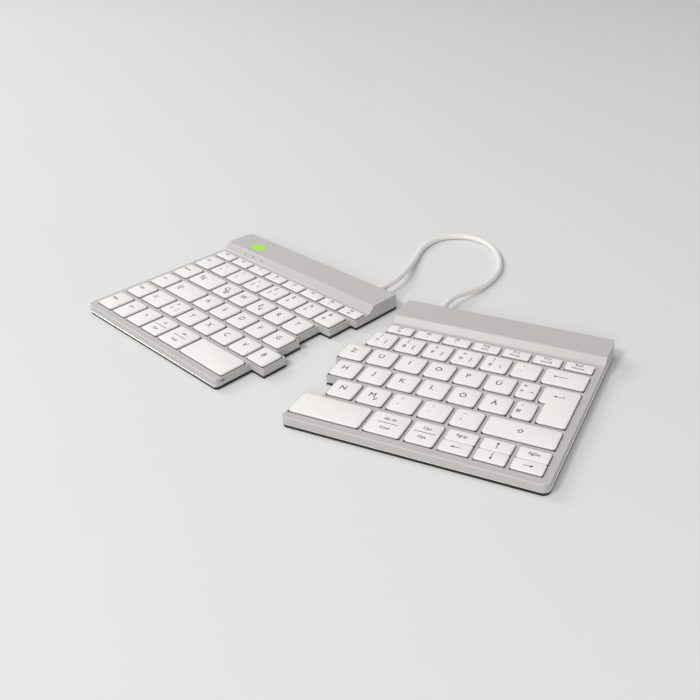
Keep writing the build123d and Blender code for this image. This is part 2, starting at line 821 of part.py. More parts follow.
def corner_arcs(points):
    """The largest arc that each corner of a route has room for."""
    radii = []
    for before, corner, after in zip(points, points[1:], points[2:]):
        run_in = Vector(*corner) - Vector(*before)
        run_out = Vector(*after) - Vector(*corner)
        half_turn = math.radians(run_in.get_angle(run_out)) / 2
        radii.append(ARC_SHARE * min(run_in.length, run_out.length) / math.tan(half_turn))
    return radii


cord_radii = corner_arcs(cord_points)
with BuildPart() as joining_cord:
    with BuildLine() as route:
        FilletPolyline(*cord_points, radius=cord_radii)
    with BuildSketch(Plane(origin=cord_start, z_dir=route.wires()[0] % 0)):
        Circle(CORD_RADIUS)
    sweep()
joining_cord.part.label = "joining_cord"
export_step(joining_cord.part, "parts/joining_cord.step")
route_length = route.wires()[0].length
print("cord radii", [round(radius, 1) for radius in cord_radii])
print("cord length", round(route_length, 2))
print("cord volume", round(joining_cord.part.volume, 1))
print("section times length", round(math.pi * CORD_RADIUS**2 * route_length, 1))


def is_cap_corner(corner):
    """True for every corner of a cap but the one that the enter key turns inward."""
    return Vector(corner.X - enter_cell[0], corner.Y - enter_cell[4]).length > KEY_GAP


def keycaps(half, cells):
    """Hollow caps with cut corners and a bevelled top edge, each a solid of its own."""
    with BuildPart() as caps:
        with BuildSketch(half.offset(cap_bottom_z)) as tops:
            for cell in cells:
                with BuildLine():
                    Polyline(*cell_outline(cell), close=True)
                make_face()
            chamfer(tops.vertices().filter_by(is_cap_corner), length=CAP_CORNER)
        extrude(amount=CAP_HEIGHT)
        chamfer(caps.edges().group_by(Axis.Z)[-1], length=CAP_EDGE)
        with BuildSketch(half.offset(cap_bottom_z)):
            for cell in cells:
                with BuildLine():
                    Polyline(*cell_outline(cell, -CAP_WALL), close=True)
                make_face()
        extrude(amount=CAP_HEIGHT - CAP_ROOF, mode=Mode.SUBTRACT)
    return caps.part


# Keys that travel, each letter and large key by itself and the small keys in banks
left_keys = {
    "keys_function_left": left_function,
    "keys_macro_left": [left_digits[0], left_upper[0], left_home[0], left_lower[0]]
    + [left_bottom[0]],
    "keys_digit_left": left_digits[1:],
    "keys_modifier_left": [left_upper[1], left_home[1], left_lower[2]] + left_bottom[1:5],
    "key_shift_left": [left_lower[1]],
    "key_space_left": [left_bottom[5]],
}
for name, cell in zip("qwert", left_upper[2:]):
    left_keys["key_" + name] = [cell]
for name, cell in zip("asdfg", left_home[2:]):
    left_keys["key_" + name] = [cell]
for name, cell in zip("yxcvb", left_lower[3:]):
    left_keys["key_" + name] = [cell]

right_keys = {
    "keys_function_right": right_function,
    "keys_digit_right": right_digits[:6],
    "keys_symbol_right": right_upper[5:] + right_home[4:] + right_lower[2:5],
    "keys_navigation_right": right_bottom[1:] + right_navigation,
    "key_backspace": [right_digits[6]],
    "key_enter": [enter_cell],
    "key_shift_right": [right_lower[5]],
    "key_space_right": [right_bottom[0]],
}
for name, cell in zip("zuiop", right_upper):
    right_keys["key_" + name] = [cell]
for name, cell in zip("hjkl", right_home):
    right_keys["key_" + name] = [cell]
for name, cell in zip("nm", right_lower):
    right_keys["key_" + name] = [cell]

for half, keys in ((left_half, left_keys), (right_half, right_keys)):
    for label, cells in keys.items():
        with BuildPart() as key:
            add(keycaps(half, cells))
        key.part.label = label
        export_step(key.part, f"parts/{label}.step")
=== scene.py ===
# %% [markdown]
# # A two-part keyboard, dressed for its picture
# The construction comes from the CAD frame: shells, plates, boards, screws and every keycap at
# its real size. This script gives each surface its finish, models the pieces that need softer
# forms, and sets camera and light. The frame is loaded first, because every new piece is placed
# by what the frame says.

import json
import math

import bpy
import bmesh
from mathutils import Matrix, Vector
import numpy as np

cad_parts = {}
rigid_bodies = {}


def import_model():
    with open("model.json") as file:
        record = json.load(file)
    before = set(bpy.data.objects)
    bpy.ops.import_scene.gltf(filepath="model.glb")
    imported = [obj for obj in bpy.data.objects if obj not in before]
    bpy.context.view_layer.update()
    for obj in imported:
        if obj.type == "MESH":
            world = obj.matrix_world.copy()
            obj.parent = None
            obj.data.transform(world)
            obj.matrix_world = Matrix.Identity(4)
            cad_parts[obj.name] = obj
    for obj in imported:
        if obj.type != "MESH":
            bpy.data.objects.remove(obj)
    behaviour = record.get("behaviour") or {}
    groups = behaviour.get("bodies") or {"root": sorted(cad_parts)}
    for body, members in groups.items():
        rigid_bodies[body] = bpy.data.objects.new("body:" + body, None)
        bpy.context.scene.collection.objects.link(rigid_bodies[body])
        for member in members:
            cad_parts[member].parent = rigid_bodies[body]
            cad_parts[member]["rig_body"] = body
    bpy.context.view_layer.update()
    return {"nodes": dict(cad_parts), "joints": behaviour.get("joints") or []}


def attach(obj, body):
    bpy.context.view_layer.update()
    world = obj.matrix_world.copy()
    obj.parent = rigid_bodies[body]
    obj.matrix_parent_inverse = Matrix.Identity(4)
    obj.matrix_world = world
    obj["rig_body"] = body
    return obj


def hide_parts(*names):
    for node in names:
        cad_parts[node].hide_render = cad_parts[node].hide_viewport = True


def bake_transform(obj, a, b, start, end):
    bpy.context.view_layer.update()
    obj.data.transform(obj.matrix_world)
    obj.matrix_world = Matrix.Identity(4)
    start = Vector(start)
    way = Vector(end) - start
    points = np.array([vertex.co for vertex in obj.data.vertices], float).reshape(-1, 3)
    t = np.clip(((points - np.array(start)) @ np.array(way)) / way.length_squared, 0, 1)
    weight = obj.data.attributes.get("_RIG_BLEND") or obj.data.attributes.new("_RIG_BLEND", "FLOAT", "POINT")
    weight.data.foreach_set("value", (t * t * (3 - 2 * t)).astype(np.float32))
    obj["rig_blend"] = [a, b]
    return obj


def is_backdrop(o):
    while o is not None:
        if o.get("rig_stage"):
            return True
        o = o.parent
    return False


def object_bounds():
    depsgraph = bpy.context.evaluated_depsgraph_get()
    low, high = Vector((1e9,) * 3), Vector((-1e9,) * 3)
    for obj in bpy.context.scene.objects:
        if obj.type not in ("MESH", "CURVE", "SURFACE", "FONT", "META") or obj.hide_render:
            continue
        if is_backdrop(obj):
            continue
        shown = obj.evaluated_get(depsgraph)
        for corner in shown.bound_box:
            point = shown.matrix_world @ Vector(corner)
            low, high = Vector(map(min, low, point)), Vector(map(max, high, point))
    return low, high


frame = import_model()
nodes = frame["nodes"]

# %% [markdown]
# ## Two halves, one key grid
# Both halves are drawn on one key grid, in millimetres: X runs along the rows, Y runs to the
# rear. Each half stands on the desk a little turned. A matrix per half carries a point of the
# grid to its place in the scene, in metres.

# %% Key grid and the places of the halves
MM = 0.001
UNIT = 19.0
DIGIT_SPLIT = 7 * UNIT
LEFT_AT = (-20.95, -63.72)
RIGHT_AT = (30.35, -67.28)
HALF_TURN = math.radians(9.09)


def grid_to_desk(at, turn):
    """The matrix from grid millimetres to desk metres for one half."""
    turned = Matrix.Rotation(turn, 4, "Z")
    start = Vector((at[0], at[1], 0)) - turned @ Vector((DIGIT_SPLIT, 0, 0))
    return Matrix.Scale(MM, 4) @ Matrix.Translation(start) @ turned


halves = {
    "left_half": grid_to_desk(LEFT_AT, -HALF_TURN),
    "right_half": grid_to_desk(RIGHT_AT, HALF_TURN),
}
parents = {joint["child"]: joint["parent"] for joint in frame["joints"]}


def half_of(name):
    """The half that carries a node: its own body, or the body that its key slides on."""
    body = nodes[name]["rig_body"]
    return body if body == "left_half" or body not in parents else parents[body]


print("key_q is on", half_of("key_q"), "and key_z is on", half_of("key_z"))

# %% [markdown]
# ## Camera
# The camera stands in front of the right half and looks down on both, as in a catalogue
# picture. Its place, its turn and its lens come from the key grid: a camera fitted to the
# corners of the keycaps. The small shift puts the optical axis where the framing has it.

# %% Camera
CAMERA_PLACE = (0.29936, -0.34361, 0.27776)
CAMERA_TURN = (57.936, 0.927, 32.373)
CAMERA_LENS = 42.33
CAMERA_SHIFT = -0.1286

bpy.ops.object.select_all(action="DESELECT")
bpy.ops.object.camera_add(location=CAMERA_PLACE)
camera = bpy.context.object
camera.name = "camera"
camera.rotation_euler = [math.radians(angle) for angle in CAMERA_TURN]
camera.data.lens = CAMERA_LENS
camera.data.shift_x = CAMERA_SHIFT
camera.data.dof.use_dof = False
bpy.context.scene.camera = camera
print("camera lens:", camera.data.lens, "mm")

# %% [markdown]
# ## Joining cord
# The halves talk to each other through one soft, round cord. It leaves each rear wall straight,
# comes down to the desk and lies there in a loose loop. The route is a smooth spline with a few
# control points, and the tube is a ring of points carried along it without twisting.

# %% Cord route
CORD_STEPS = 12
CASE_REAR = 125.5
RELIEF_LENGTH = 8.5
CORD_LEAD = 10.8
CORD_Z = 7.0
EXITS = {"left_half": 118.0, "right_half": 160.5}


def grid_point(half, x, y, z):
    """A point of the key grid on the desk, in metres."""
    return halves[half] @ Vector((x, y, z))


def lead_points(half):
    """Where the cord leaves its strain relief, and the end of its straight lead."""
    relief_end = CASE_REAR + RELIEF_LENGTH
    ends = (relief_end, relief_end + CORD_LEAD)
    return [grid_point(half, EXITS[half], y, CORD_Z) for y in ends]


loop_points = [
    (-17.5, 101.8, 5.0),
    (-25.6, 124.2, 2.4),
    (-34.0, 148.0, 2.2),
    (-31.9, 170.4, 2.2),
    (-14.0, 183.8, 2.2),
    (8.0, 179.6, 2.2),
    (26.6, 163.5, 2.2),
    (39.1, 141.8, 2.2),
    (41.8, 116.6, 2.2),
    (37.6, 94.4, 5.0),
]
route_points = lead_points("left_half")
route_points += [Vector(point) * MM for point in loop_points]
route_points += reversed(lead_points("right_half"))

route = bpy.data.curves.new("cord_route", "CURVE")
route.dimensions = "3D"
spline = route.splines.new("NURBS")
spline.points.add(len(route_points) - 1)
for spot, point in zip(spline.points, route_points):
    spot.co = (*point, 1)
spline.order_u = 3
spline.use_endpoint_u = True
spline.resolution_u = CORD_STEPS
route_object = bpy.data.objects.new("cord_route", route)
bpy.context.scene.collection.objects.link(route_object)
route_line = bpy.data.meshes.new_from_object(route_object)
cord_path = [vertex.co.copy() for vertex in route_line.vertices]
bpy.data.objects.remove(route_object)

# %% Sweep the jacket along the route
CORD_RADIUS = 2.1
CORD_SIDES = 20


def tube_along(name, path, radius, sides):
    """A closed tube that follows a path. Each ring is turned from the last one without twist."""
    mesh = bmesh.new()
    across = Vector((0, 0, 1))
    rings = []
    for i, point in enumerate(path):
        ahead = path[min(i + 1, len(path) - 1)] - path[max(i - 1, 0)]
        ahead.normalize()
        across = (across - ahead * across.dot(ahead)).normalized()
        beside = ahead.cross(across)
        ring = []
        for side in range(sides):
            angle = 2 * math.pi * side / sides
            outward = across * math.cos(angle) + beside * math.sin(angle)
            ring.append(mesh.verts.new(point + radius * outward))
        rings.append(ring)
    for near, far in zip(rings, rings[1:]):
        for side in range(sides):
            after = (side + 1) % sides
            mesh.faces.new((near[side], near[after], far[after], far[side]))
    mesh.faces.new(reversed(rings[0]))
    mesh.faces.new(rings[-1])
    data = bpy.data.meshes.new(name)
    mesh.to_mesh(data)
    mesh.free()
    piece = bpy.data.objects.new(name, data)
    bpy.context.scene.collection.objects.link(piece)
    for face in data.polygons:
        face.use_smooth = len(face.vertices) == 4
    return piece


cord = tube_along("joining_cord_jacket", cord_path, CORD_RADIUS * MM, CORD_SIDES)
print("jacket:", len(cord.data.polygons), "faces")

# %% [markdown]
# The cord travels with the left half at one end and with the right half at the other, and its
# loop bends in between.

CORD_TURNS_FROM = (-0.010, 0.17, 0.002)
CORD_TURNS_TO = (0.030, 0.17, 0.002)

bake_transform(cord, "left_half", "right_half", start=CORD_TURNS_FROM, end=CORD_TURNS_TO)
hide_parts("joining_cord")

# %% [markdown]
# ## Tools for materials
# Colours are written as the hex values that a picture program shows. Blender computes with
# linear light, so one function turns them. A second small function adds any node with its
# settings and its links, and all the nodes below are added by it.

# %% Colour and node helpers
SRGB_KNEE = 0.04045
SRGB_SLOPE = 12.92
SRGB_OFFSET = 0.055
SRGB_POWER = 2.4


def linear(part):
    """One part of an sRGB colour, between 0 and 1, as linear light."""
    if part <= SRGB_KNEE:
        return part / SRGB_SLOPE
    return ((part + SRGB_OFFSET) / (1 + SRGB_OFFSET)) ** SRGB_POWER


def colour(text):
    """A linear colour from an sRGB hex value."""
    return [linear(int(text[i : i + 2], 16) / 255) for i in (1, 3, 5)] + [1.0]


def put(tree, kind, inputs, **settings):
    """Adds a node. Inputs are values, or sockets of other nodes that are linked."""
    made = tree.nodes.new(kind)
    for name, value in settings.items():
        setattr(made, name, value)
    for name, value in inputs.items():
        if isinstance(value, bpy.types.NodeSocket):
            tree.links.new(value, made.inputs[name])
        else:
            made.inputs[name].default_value = value
    return made


print("white is", [round(part, 3) for part in colour("#ffffff")])

# %% [markdown]
# No real surface is quite even. So nearly every finish below varies a little in cloudy spots,
# whose size is given in millimetres: its tone, its gloss, its relief, or all three together.
# Grit that is finer than the picture can show is drawn at about half a millimetre.

# %% Start a material and let it vary


def new_material(name, **sockets):
    """A material with its shader's plain sockets set, and its coordinates in millimetres."""
    material = bpy.data.materials.new(name)
    material.use_nodes = True
    tree = material.node_tree
    shader = tree.nodes["Principled BSDF"]
    for socket, value in sockets.items():
        shader.inputs[socket.replace("_", " ")].default_value = value
    place = put(tree, "ShaderNodeTexCoord", {})
    scaled = put(
        tree, "ShaderNodeMapping", {"Vector": place.outputs["Object"], "Scale": (1 / MM,) * 3}
    )
    return material, tree, shader, scaled.outputs["Vector"]


def vary(tree, shader, place, size, detail=2.0, tones=None, roughness=None, relief=None):
    """Lets a finish vary in cloudy spots: its tone between two colours, its roughness between
    two values, its relief by a strength and a depth. Sizes are in millimetres."""
    clouds = put(tree, "ShaderNodeTexNoise", {"Vector": place, "Scale": 1 / size, "Detail": detail})
    share = clouds.outputs["Fac"]
    if tones:
        ends = {"A": colour(tones[0]), "B": colour(tones[1])}
        tone = put(tree, "ShaderNodeMix", {"Factor": share, **ends}, data_type="RGBA")
        tree.links.new(tone.outputs["Result"], shader.inputs["Base Color"])
    if roughness:
        ends = {"To Min": roughness[0], "To Max": roughness[1]}
        gloss = put(tree, "ShaderNodeMapRange", {"Value": share, **ends})
        tree.links.new(gloss.outputs["Result"], shader.inputs["Roughness"])
    if relief:
        height = {"Height": share, "Strength": relief[0], "Distance": relief[1] * MM}
        bump = put(tree, "ShaderNodeBump", height)
        tree.links.new(bump.outputs["Normal"], shader.inputs["Normal"])


finishes = {}
print("tools for materials ready")

# %% [markdown]
# ## Plastics
# The shells are moulded ABS from a spark-eroded tool: light grey and matt, with a fine even
# grain. The caps are whiter and more satin, since fingers should slide on them. Their skirts
# carry painted shade: below the rounded edge the white fades to dark grey towards the foot,
# standing for the shade in the narrow gaps between the keys. The grain of both is finer than the
# picture can show, so it is drawn a little coarser than it is. Slow clouds of tone stand for the
# small differences that light and handling leave on such a surface.

# %% Plastic materials
SHELL_GRAIN = 0.45
CAP_GRAIN = 0.35
JACKET_GRAIN = 0.6
CASE_CLOUD = 60.0
JACKET_CLOUD = 25.0
# Painted shade: between these heights the cap's skirt fades from dark grey at the foot up to white.
SKIRT_SHADE_FOOT_Z = 7.1
SKIRT_SHADE_TOP_Z = 7.75


def shell_plastic():
    """Moulded ABS, light grey and matt."""
    made, tree, shader, place = new_material("moulded_abs_light_grey", IOR=1.54)
    vary(tree, shader, place, CASE_CLOUD, tones=("#bab8b8", "#c0bebe"))
    vary(tree, shader, place, SHELL_GRAIN, detail=3.0, roughness=(0.34, 0.42), relief=(0.25, 0.05))
    return made


def cap_plastic():
    """Moulded ABS, white and satin, with painted shade that turns its skirt dark grey below the rounded
    edge.
    """
    made, tree, shader, place = new_material("moulded_abs_white", IOR=1.54)
    height = put(tree, "ShaderNodeSeparateXYZ", {"Vector": place})
    above = put(
        tree,
        "ShaderNodeMapRange",
        {"Value": height.outputs["Z"], "From Min": SKIRT_SHADE_FOOT_Z, "From Max": SKIRT_SHADE_TOP_Z},
    )
    clouds = put(
        tree, "ShaderNodeTexNoise", {"Vector": place, "Scale": 1 / CASE_CLOUD, "Detail": 2.0}
    )
    white = put(
        tree,
        "ShaderNodeMix",
        {"Factor": clouds.outputs["Fac"], "A": colour("#eceaea"), "B": colour("#f2f0f0")},
        data_type="RGBA",
    )
    # Painted shade on the skirt: dark grey at the foot, white above the fade.
    painted_skirt_shade = put(
        tree,
        "ShaderNodeMix",
        {"Factor": above.outputs["Result"], "A": colour("#807d7b"), "B": white.outputs["Result"]},
        data_type="RGBA",
    )
    tree.links.new(painted_skirt_shade.outputs["Result"], shader.inputs["Base Color"])
    vary(tree, shader, place, CAP_GRAIN, roughness=(0.42, 0.52), relief=(0.15, 0.03))
    return made


def jacket_plastic():
    """The soft elastomer jacket of the cord and its reliefs, white, drawn smooth by its die."""
    made, tree, shader, place = new_material("extruded_elastomer_white", IOR=1.5)
    vary(tree, shader, place, JACKET_CLOUD, tones=("#e9e6e3", "#f0edea"))
    vary(tree, shader, place, JACKET_GRAIN, roughness=(0.4, 0.5), relief=(0.12, 0.03))
    return made


finishes["shell_plastic"] = shell_plastic()
finishes["keycap_plastic"] = cap_plastic()
finishes["white_cord_jacket"] = jacket_plastic()
print("plastics:", len(finishes))

# %% [markdown]
# ## Metals
# Under each shell lies a plate of polished stainless steel, whose rolled edge shows as a
# thin bright line over a black band. The black band is a painted reflection: its lower side and
# most of its rim are painted near black, for the dark reflection of the shaded desk beneath it.
# Screws and the inlet's sleeve are nickel plated, with a warmer grey. Polishing leaves faint
# long streaks, which roughen the mirror a little in one direction.

# %% Metal materials
# Painted reflection: below this height the plate is painted near black, for the dark reflection of the
# shaded desk beneath its rim.
DARK_REFLECTION_EDGE_Z = 1.85
DARK_REFLECTION_FADE = 0.1
STREAK_WIDTH = 0.8
STREAK_SQUEEZE = 0.08
PLATING_GRAIN = 0.5


def polished_steel():
    """Stainless steel sheet, polished, painted near black on its lower side and lower edge as a dark
    reflection of the shaded desk.
    """
    made, tree, shader, place = new_material("polished_stainless_steel")
    height = put(tree, "ShaderNodeSeparateXYZ", {"Vector": place})
    dark_reflection_ends = {"From Min": DARK_REFLECTION_EDGE_Z, "From Max": DARK_REFLECTION_EDGE_Z + DARK_REFLECTION_FADE}
    above_dark_reflection = put(tree, "ShaderNodeMapRange", {"Value": height.outputs["Z"], **dark_reflection_ends})
    # Painted reflection: near black below the edge, bare bright steel above it.
    tone = put(
        tree,
        "ShaderNodeMix",
        {"Factor": above_dark_reflection.outputs["Result"], "A": colour("#090909"), "B": colour("#e8e6e3")},
        data_type="RGBA",
    )
    tree.links.new(above_dark_reflection.outputs["Result"], shader.inputs["Metallic"])
    tree.links.new(tone.outputs["Result"], shader.inputs["Base Color"])
    squeezed = put(
        tree, "ShaderNodeMapping", {"Vector": place, "Scale": (STREAK_SQUEEZE, 1.0, 1.0)}
    )
    streaks = squeezed.outputs["Vector"]
    vary(tree, shader, streaks, STREAK_WIDTH, detail=3.0, roughness=(0.24, 0.38))
    return made


def plated_steel():
    """Nickel-plated steel, barrel plated, with a soft gloss."""
    made, tree, shader, place = new_material(
        "nickel_plated_steel", Metallic=1.0, Base_Color=colour("#b5b1aa")
    )
    vary(tree, shader, place, PLATING_GRAIN, roughness=(0.25, 0.4))
    return made


finishes["polished_steel"] = polished_steel()
finishes["plated_steel"] = plated_steel()
print("with metals:", len(finishes))

# %% [markdown]
# ## Rubber, silicone, boards and lights
# The pieces under and inside the shells get their real finishes too, because the model is also
# looked at from below and taken apart. A board is green glass-fibre laminate with copper lines
# under its lacquer. A brick pattern draws them, coarser than real traces, so that they show.

# %% Rubber and silicone
RUBBER_GRAIN = 0.5
SILICONE_CLOUD = 2.0


def foot_rubber():
    """Moulded rubber, nearly black and dull."""
    made, tree, shader, place = new_material("moulded_rubber_black", IOR=1.52)
    vary(
        tree,
        shader,
        place,
        RUBBER_GRAIN,
        detail=3.0,
        tones=("#232324", "#303031"),
        roughness=(0.75, 0.9),
        relief=(0.3, 0.06),
    )
    return made


def dome_silicone():
    """Cast silicone sheet, milky and soft."""
    made, tree, shader, place = new_material(
        "cast_silicone_milky", IOR=1.43, Subsurface_Weight=0.2, Subsurface_Scale=MM
    )
    vary(tree, shader, place, SILICONE_CLOUD, tones=("#ccd2cf", "#dce1de"), roughness=(0.5, 0.65))
    return made


finishes["foot_rubber"] = foot_rubber()
finishes["dome_silicone"] = dome_silicone()
print("with soft pieces:", len(finishes))

# %% Boards
SHEET_PITCH = 3.2
BOARD_PITCH = 1.6
TRACE_SHARE = 1 / 8
TRACE_LENGTHS = 4
TRACE_SOFTNESS = 0.2
LACQUER_CLOUD = 1.0


def traced_laminate(name, field, trace, pitch):
    """A laminate with copper lines under its lacquer, pitch in millimetres."""
    made, tree, shader, place = new_material(name, IOR=1.55)
    lines = put(
        tree,
        "ShaderNodeTexBrick",
        {
            "Vector": place,
            "Color1": colour(field),
            "Color2": colour(field),
            "Mortar": colour(trace),
            "Scale": 1.0,
            "Mortar Size": TRACE_SHARE * pitch,
            "Mortar Smooth": TRACE_SOFTNESS,
            "Brick Width": TRACE_LENGTHS * pitch,
            "Row Height": pitch,
        },
    )
    tree.links.new(lines.outputs["Color"], shader.inputs["Base Color"])
    vary(tree, shader, place, LACQUER_CLOUD, roughness=(0.3, 0.42))
    raised = put(
        tree,
        "ShaderNodeBump",
        {"Height": lines.outputs["Fac"], "Strength": 0.4, "Distance": 0.05 * MM},
    )
    tree.links.new(raised.outputs["Normal"], shader.inputs["Normal"])
    return made


finishes["circuit_sheet"] = traced_laminate(
    "printed_polyester_sheet", "#3f6f62", "#9aa6a0", SHEET_PITCH
)
finishes["board_laminate"] = traced_laminate(
    "glass_fibre_laminate_green", "#1e5a3c", "#3f7f58", BOARD_PITCH
)
print("with boards:", len(finishes))

# %% Lights and battery
LENS_CLOUD = 3.0
GUIDE_CLOUD = 1.0
POUCH_CREASE = 4.0


def green_lens():
    """A satin polycarbonate lens, lit from behind by a green lamp."""
    made, tree, shader, place = new_material(
        "moulded_polycarbonate_green",
        IOR=1.58,
        Roughness=0.4,
        Emission_Strength=0.15,
        Specular_IOR_Level=0.3,
    )
    clouds = put(
        tree, "ShaderNodeTexNoise", {"Vector": place, "Scale": 1 / LENS_CLOUD, "Detail": 2.0}
    )
    glow = put(
        tree,
        "ShaderNodeMix",
        {"Factor": clouds.outputs["Fac"], "A": colour("#8ad804"), "B": colour("#9ce40c")},
        data_type="RGBA",
    )
    tree.links.new(glow.outputs["Result"], shader.inputs["Base Color"])
    tree.links.new(glow.outputs["Result"], shader.inputs["Emission Color"])
    return made


def light_guide():
    """A clear polycarbonate rod whose lamp is off, so it looks grey."""
    made, tree, shader, place = new_material(
        "moulded_polycarbonate_clear", IOR=1.58, Roughness=0.2, Transmission_Weight=0.3
    )
    vary(tree, shader, place, GUIDE_CLOUD, tones=("#b0adaa", "#bdbab7"))
    return made


def battery_wrap():
    """The aluminium foil pouch of a flat lithium cell, with shallow creases."""
    made, tree, shader, place = new_material("aluminium_laminate_pouch", Metallic=0.85)
    vary(
        tree,
        shader,
        place,
        POUCH_CREASE,
        detail=4.0,
        tones=("#a9abae", "#bcbec1"),
        roughness=(0.3, 0.5),
        relief=(0.4, 0.2),
    )
    return made


finishes["green_lens"] = green_lens()
finishes["clear_light_guide"] = light_guide()
finishes["battery_wrap"] = battery_wrap()
print("with lights and battery:", len(finishes))

# %% Inks
INK_GRAIN = 0.4


def pad_ink(name, dark, light):
    """Pad-printed ink, matt and a little uneven."""
    made, tree, shader, place = new_material(name, IOR=1.5)
    vary(tree, shader, place, INK_GRAIN, tones=(dark, light), roughness=(0.55, 0.7))
    return made


grey_ink = pad_ink("pad_ink_dark_grey", "#47464a", "#545357")
blue_ink = pad_ink("pad_ink_blue", "#5a6cae", "#6a7cba")
faint_ink = pad_ink("pad_ink_pale_grey", "#9b9896", "#a5a2a0")
print("inks:", grey_ink.name, blue_ink.name, faint_ink.name)

# %% [markdown]
# Each node of the frame comes with a slot that is named for its finish, so the slot's name
# picks the material.

# %% Dress the nodes of the frame
for name, piece in nodes.items():
    for holder in piece.material_slots:
        holder.material = finishes[holder.material.name.split(".")[0]]
cord.data.materials.append(finishes["white_cord_jacket"])
print("dressed:", len(nodes), "nodes")

# %% [markdown]
# ## Measuring the frame
# A node of the frame may hold several solids, such as a bank of caps or four screws. They are
# told apart by walking along their edges, and each gets its box on the key grid. Each new piece
# is then built round the origin and carried to its box.

# %% Boxes of a node's solids
ROW_STEP = 3.5
MERGE = 0.01


def solid_boxes(name):
    """Lowest and highest corners of a node's solids on the key grid, rear row first."""
    to_grid = halves[half_of(name)].inverted()
    solid = bmesh.new()
    solid.from_mesh(nodes[name].data)
    bmesh.ops.remove_doubles(solid, verts=solid.verts, dist=MERGE * MM)
    left_over = set(solid.verts)
    boxes = []
    while left_over:
        island = {left_over.pop()}
        edge_of_search = list(island)
        while edge_of_search:
            vertex = edge_of_search.pop()
            for edge in vertex.link_edges:
                other = edge.other_vert(vertex)
                if other in left_over:
                    left_over.remove(other)
                    island.add(other)
                    edge_of_search.append(other)
        spots = [to_grid @ vertex.co for vertex in island]
        low = Vector(min(spot[axis] for spot in spots) for axis in range(3))
        high = Vector(max(spot[axis] for spot in spots) for axis in range(3))
        boxes.append((low, high))
    solid.free()
    return sorted(boxes, key=lambda box: (-round((box[0].y + box[1].y) / 2 / ROW_STEP), box[0].x))


screws = {name: solid_boxes(name) for name in ("screws_left", "screws_right")}
print("screws:", sum(len(boxes) for boxes in screws.values()))

# %% Helpers for modelling
SMOOTH_ANGLE = math.radians(35)


def select_only(piece):
    """Selects one piece and makes it active."""
    bpy.ops.object.select_all(action="DESELECT")
    piece.select_set(True)
    bpy.context.view_layer.objects.active = piece


def edit_faces(piece, chosen):
    """Opens a piece in edit mode with just the faces selected that a test picks."""
    select_only(piece)
    bpy.ops.object.mode_set(mode="EDIT")
    bpy.ops.mesh.select_mode(type="FACE")
    bpy.ops.mesh.select_all(action="DESELECT")
    cage = bmesh.from_edit_mesh(piece.data)
    for face in cage.faces:
        face.select_set(chosen(face))
    cage.select_flush_mode()
    bmesh.update_edit_mesh(piece.data)


def finish_piece(piece, title, body, node, slot):
    """Names a finished piece, gives it its finish, attaches it to the body it rides on and hides the node it
    stands for.
    """
    piece.name = title
    piece.data.name = title
    piece.data.materials.clear()
    piece.data.materials.append(finishes[slot])
    select_only(piece)
    bpy.ops.object.shade_smooth_by_angle(angle=SMOOTH_ANGLE)
    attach(piece, body)
    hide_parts(node)


def join(pieces, name):
    """Several objects as one, under a new name."""
    bpy.ops.object.select_all(action="DESELECT")
    for piece in pieces:
        piece.select_set(True)
    bpy.context.view_layer.objects.active = pieces[0]
    if len(pieces) > 1:
        bpy.ops.object.join()
    whole = bpy.context.view_layer.objects.active
    whole.name = name
    whole.data.name = name
    return whole


def raise_rings(rings):
    """Extrudes the selected round face through rings of a height and a radius. The first ring
    is where the face stands."""
    for (z, radius), (next_z, next_radius) in zip(rings, rings[1:]):
        bpy.ops.mesh.extrude_region_move(TRANSFORM_OT_translate={"value": (0, 0, next_z - z)})
        share = next_radius / radius
        bpy.ops.transform.resize(value=(share, share, 1))


def close_outward():
    """Turns every face of the piece in edit mode outwards, and leaves edit mode."""
    bpy.ops.mesh.select_all(action="SELECT")
    bpy.ops.mesh.normals_make_consistent(inside=False)
    bpy.ops.object.mode_set(mode="OBJECT")


print("tools ready")

# %% [markdown]
# ## Base plates
# The plate is stamped from sheet and its edge is rolled and turned down. Its rim stands a
# little proud of the shell's wall and throws back a bright line. Where the two halves mesh as
# they close, the rim stays just inside the wall, or the plates would cut into each other. A
# copy of the frame's plate has the right outline and holes. Its loose triangles are merged,
# the upright band of its rim is let out along its own normals, its lower chamfer is extruded
# down as a lip that stops short of the desk, and a bevel rounds what is left of the edges.

# %% Tell the faces of a rim apart
SCREW_CLEARANCE = 3.0
MESHING_REACH = 40.0
UPRIGHT = 0.1
LEVEL = 0.99


def is_rim(face, spots):
    """True for a face of a plate's outer rim that isn't level, away from the screw holes."""
    middle = face.calc_center_median()
    near = min((middle.xy - spot.xy).length for spot in spots)
    return abs(face.normal.z) < LEVEL and near > SCREW_CLEARANCE * MM


def is_upright(face, spots):
    """True for a face of the rim's upright band."""
    return is_rim(face, spots) and abs(face.normal.z) < UPRIGHT


def is_meshing(face, half, inner_x):
    """True for a face near the stepped inner edge, which meets the other half."""
    middle = halves[half].inverted() @ face.calc_center_median()
    return abs(middle.x - inner_x) < MESHING_REACH


print("a rim face stands over", SCREW_CLEARANCE, "mm from each screw")

# %% Model the base plates
RIM_GROWTH = 0.3
RIM_PROUD = 0.35
LIP_FOOT_Z = 0.2
PLATE_ROUND = 0.25
PLATE_ROUND_STEPS = 3
BEVEL_FROM = math.radians(20)


def let_out(plate, chosen, growth):
    """Moves the chosen faces of a plate out along their own normals."""
    edit_faces(plate, chosen)
    bpy.ops.transform.shrink_fatten(value=growth * MM, use_even_offset=True)
    bpy.ops.object.mode_set(mode="OBJECT")


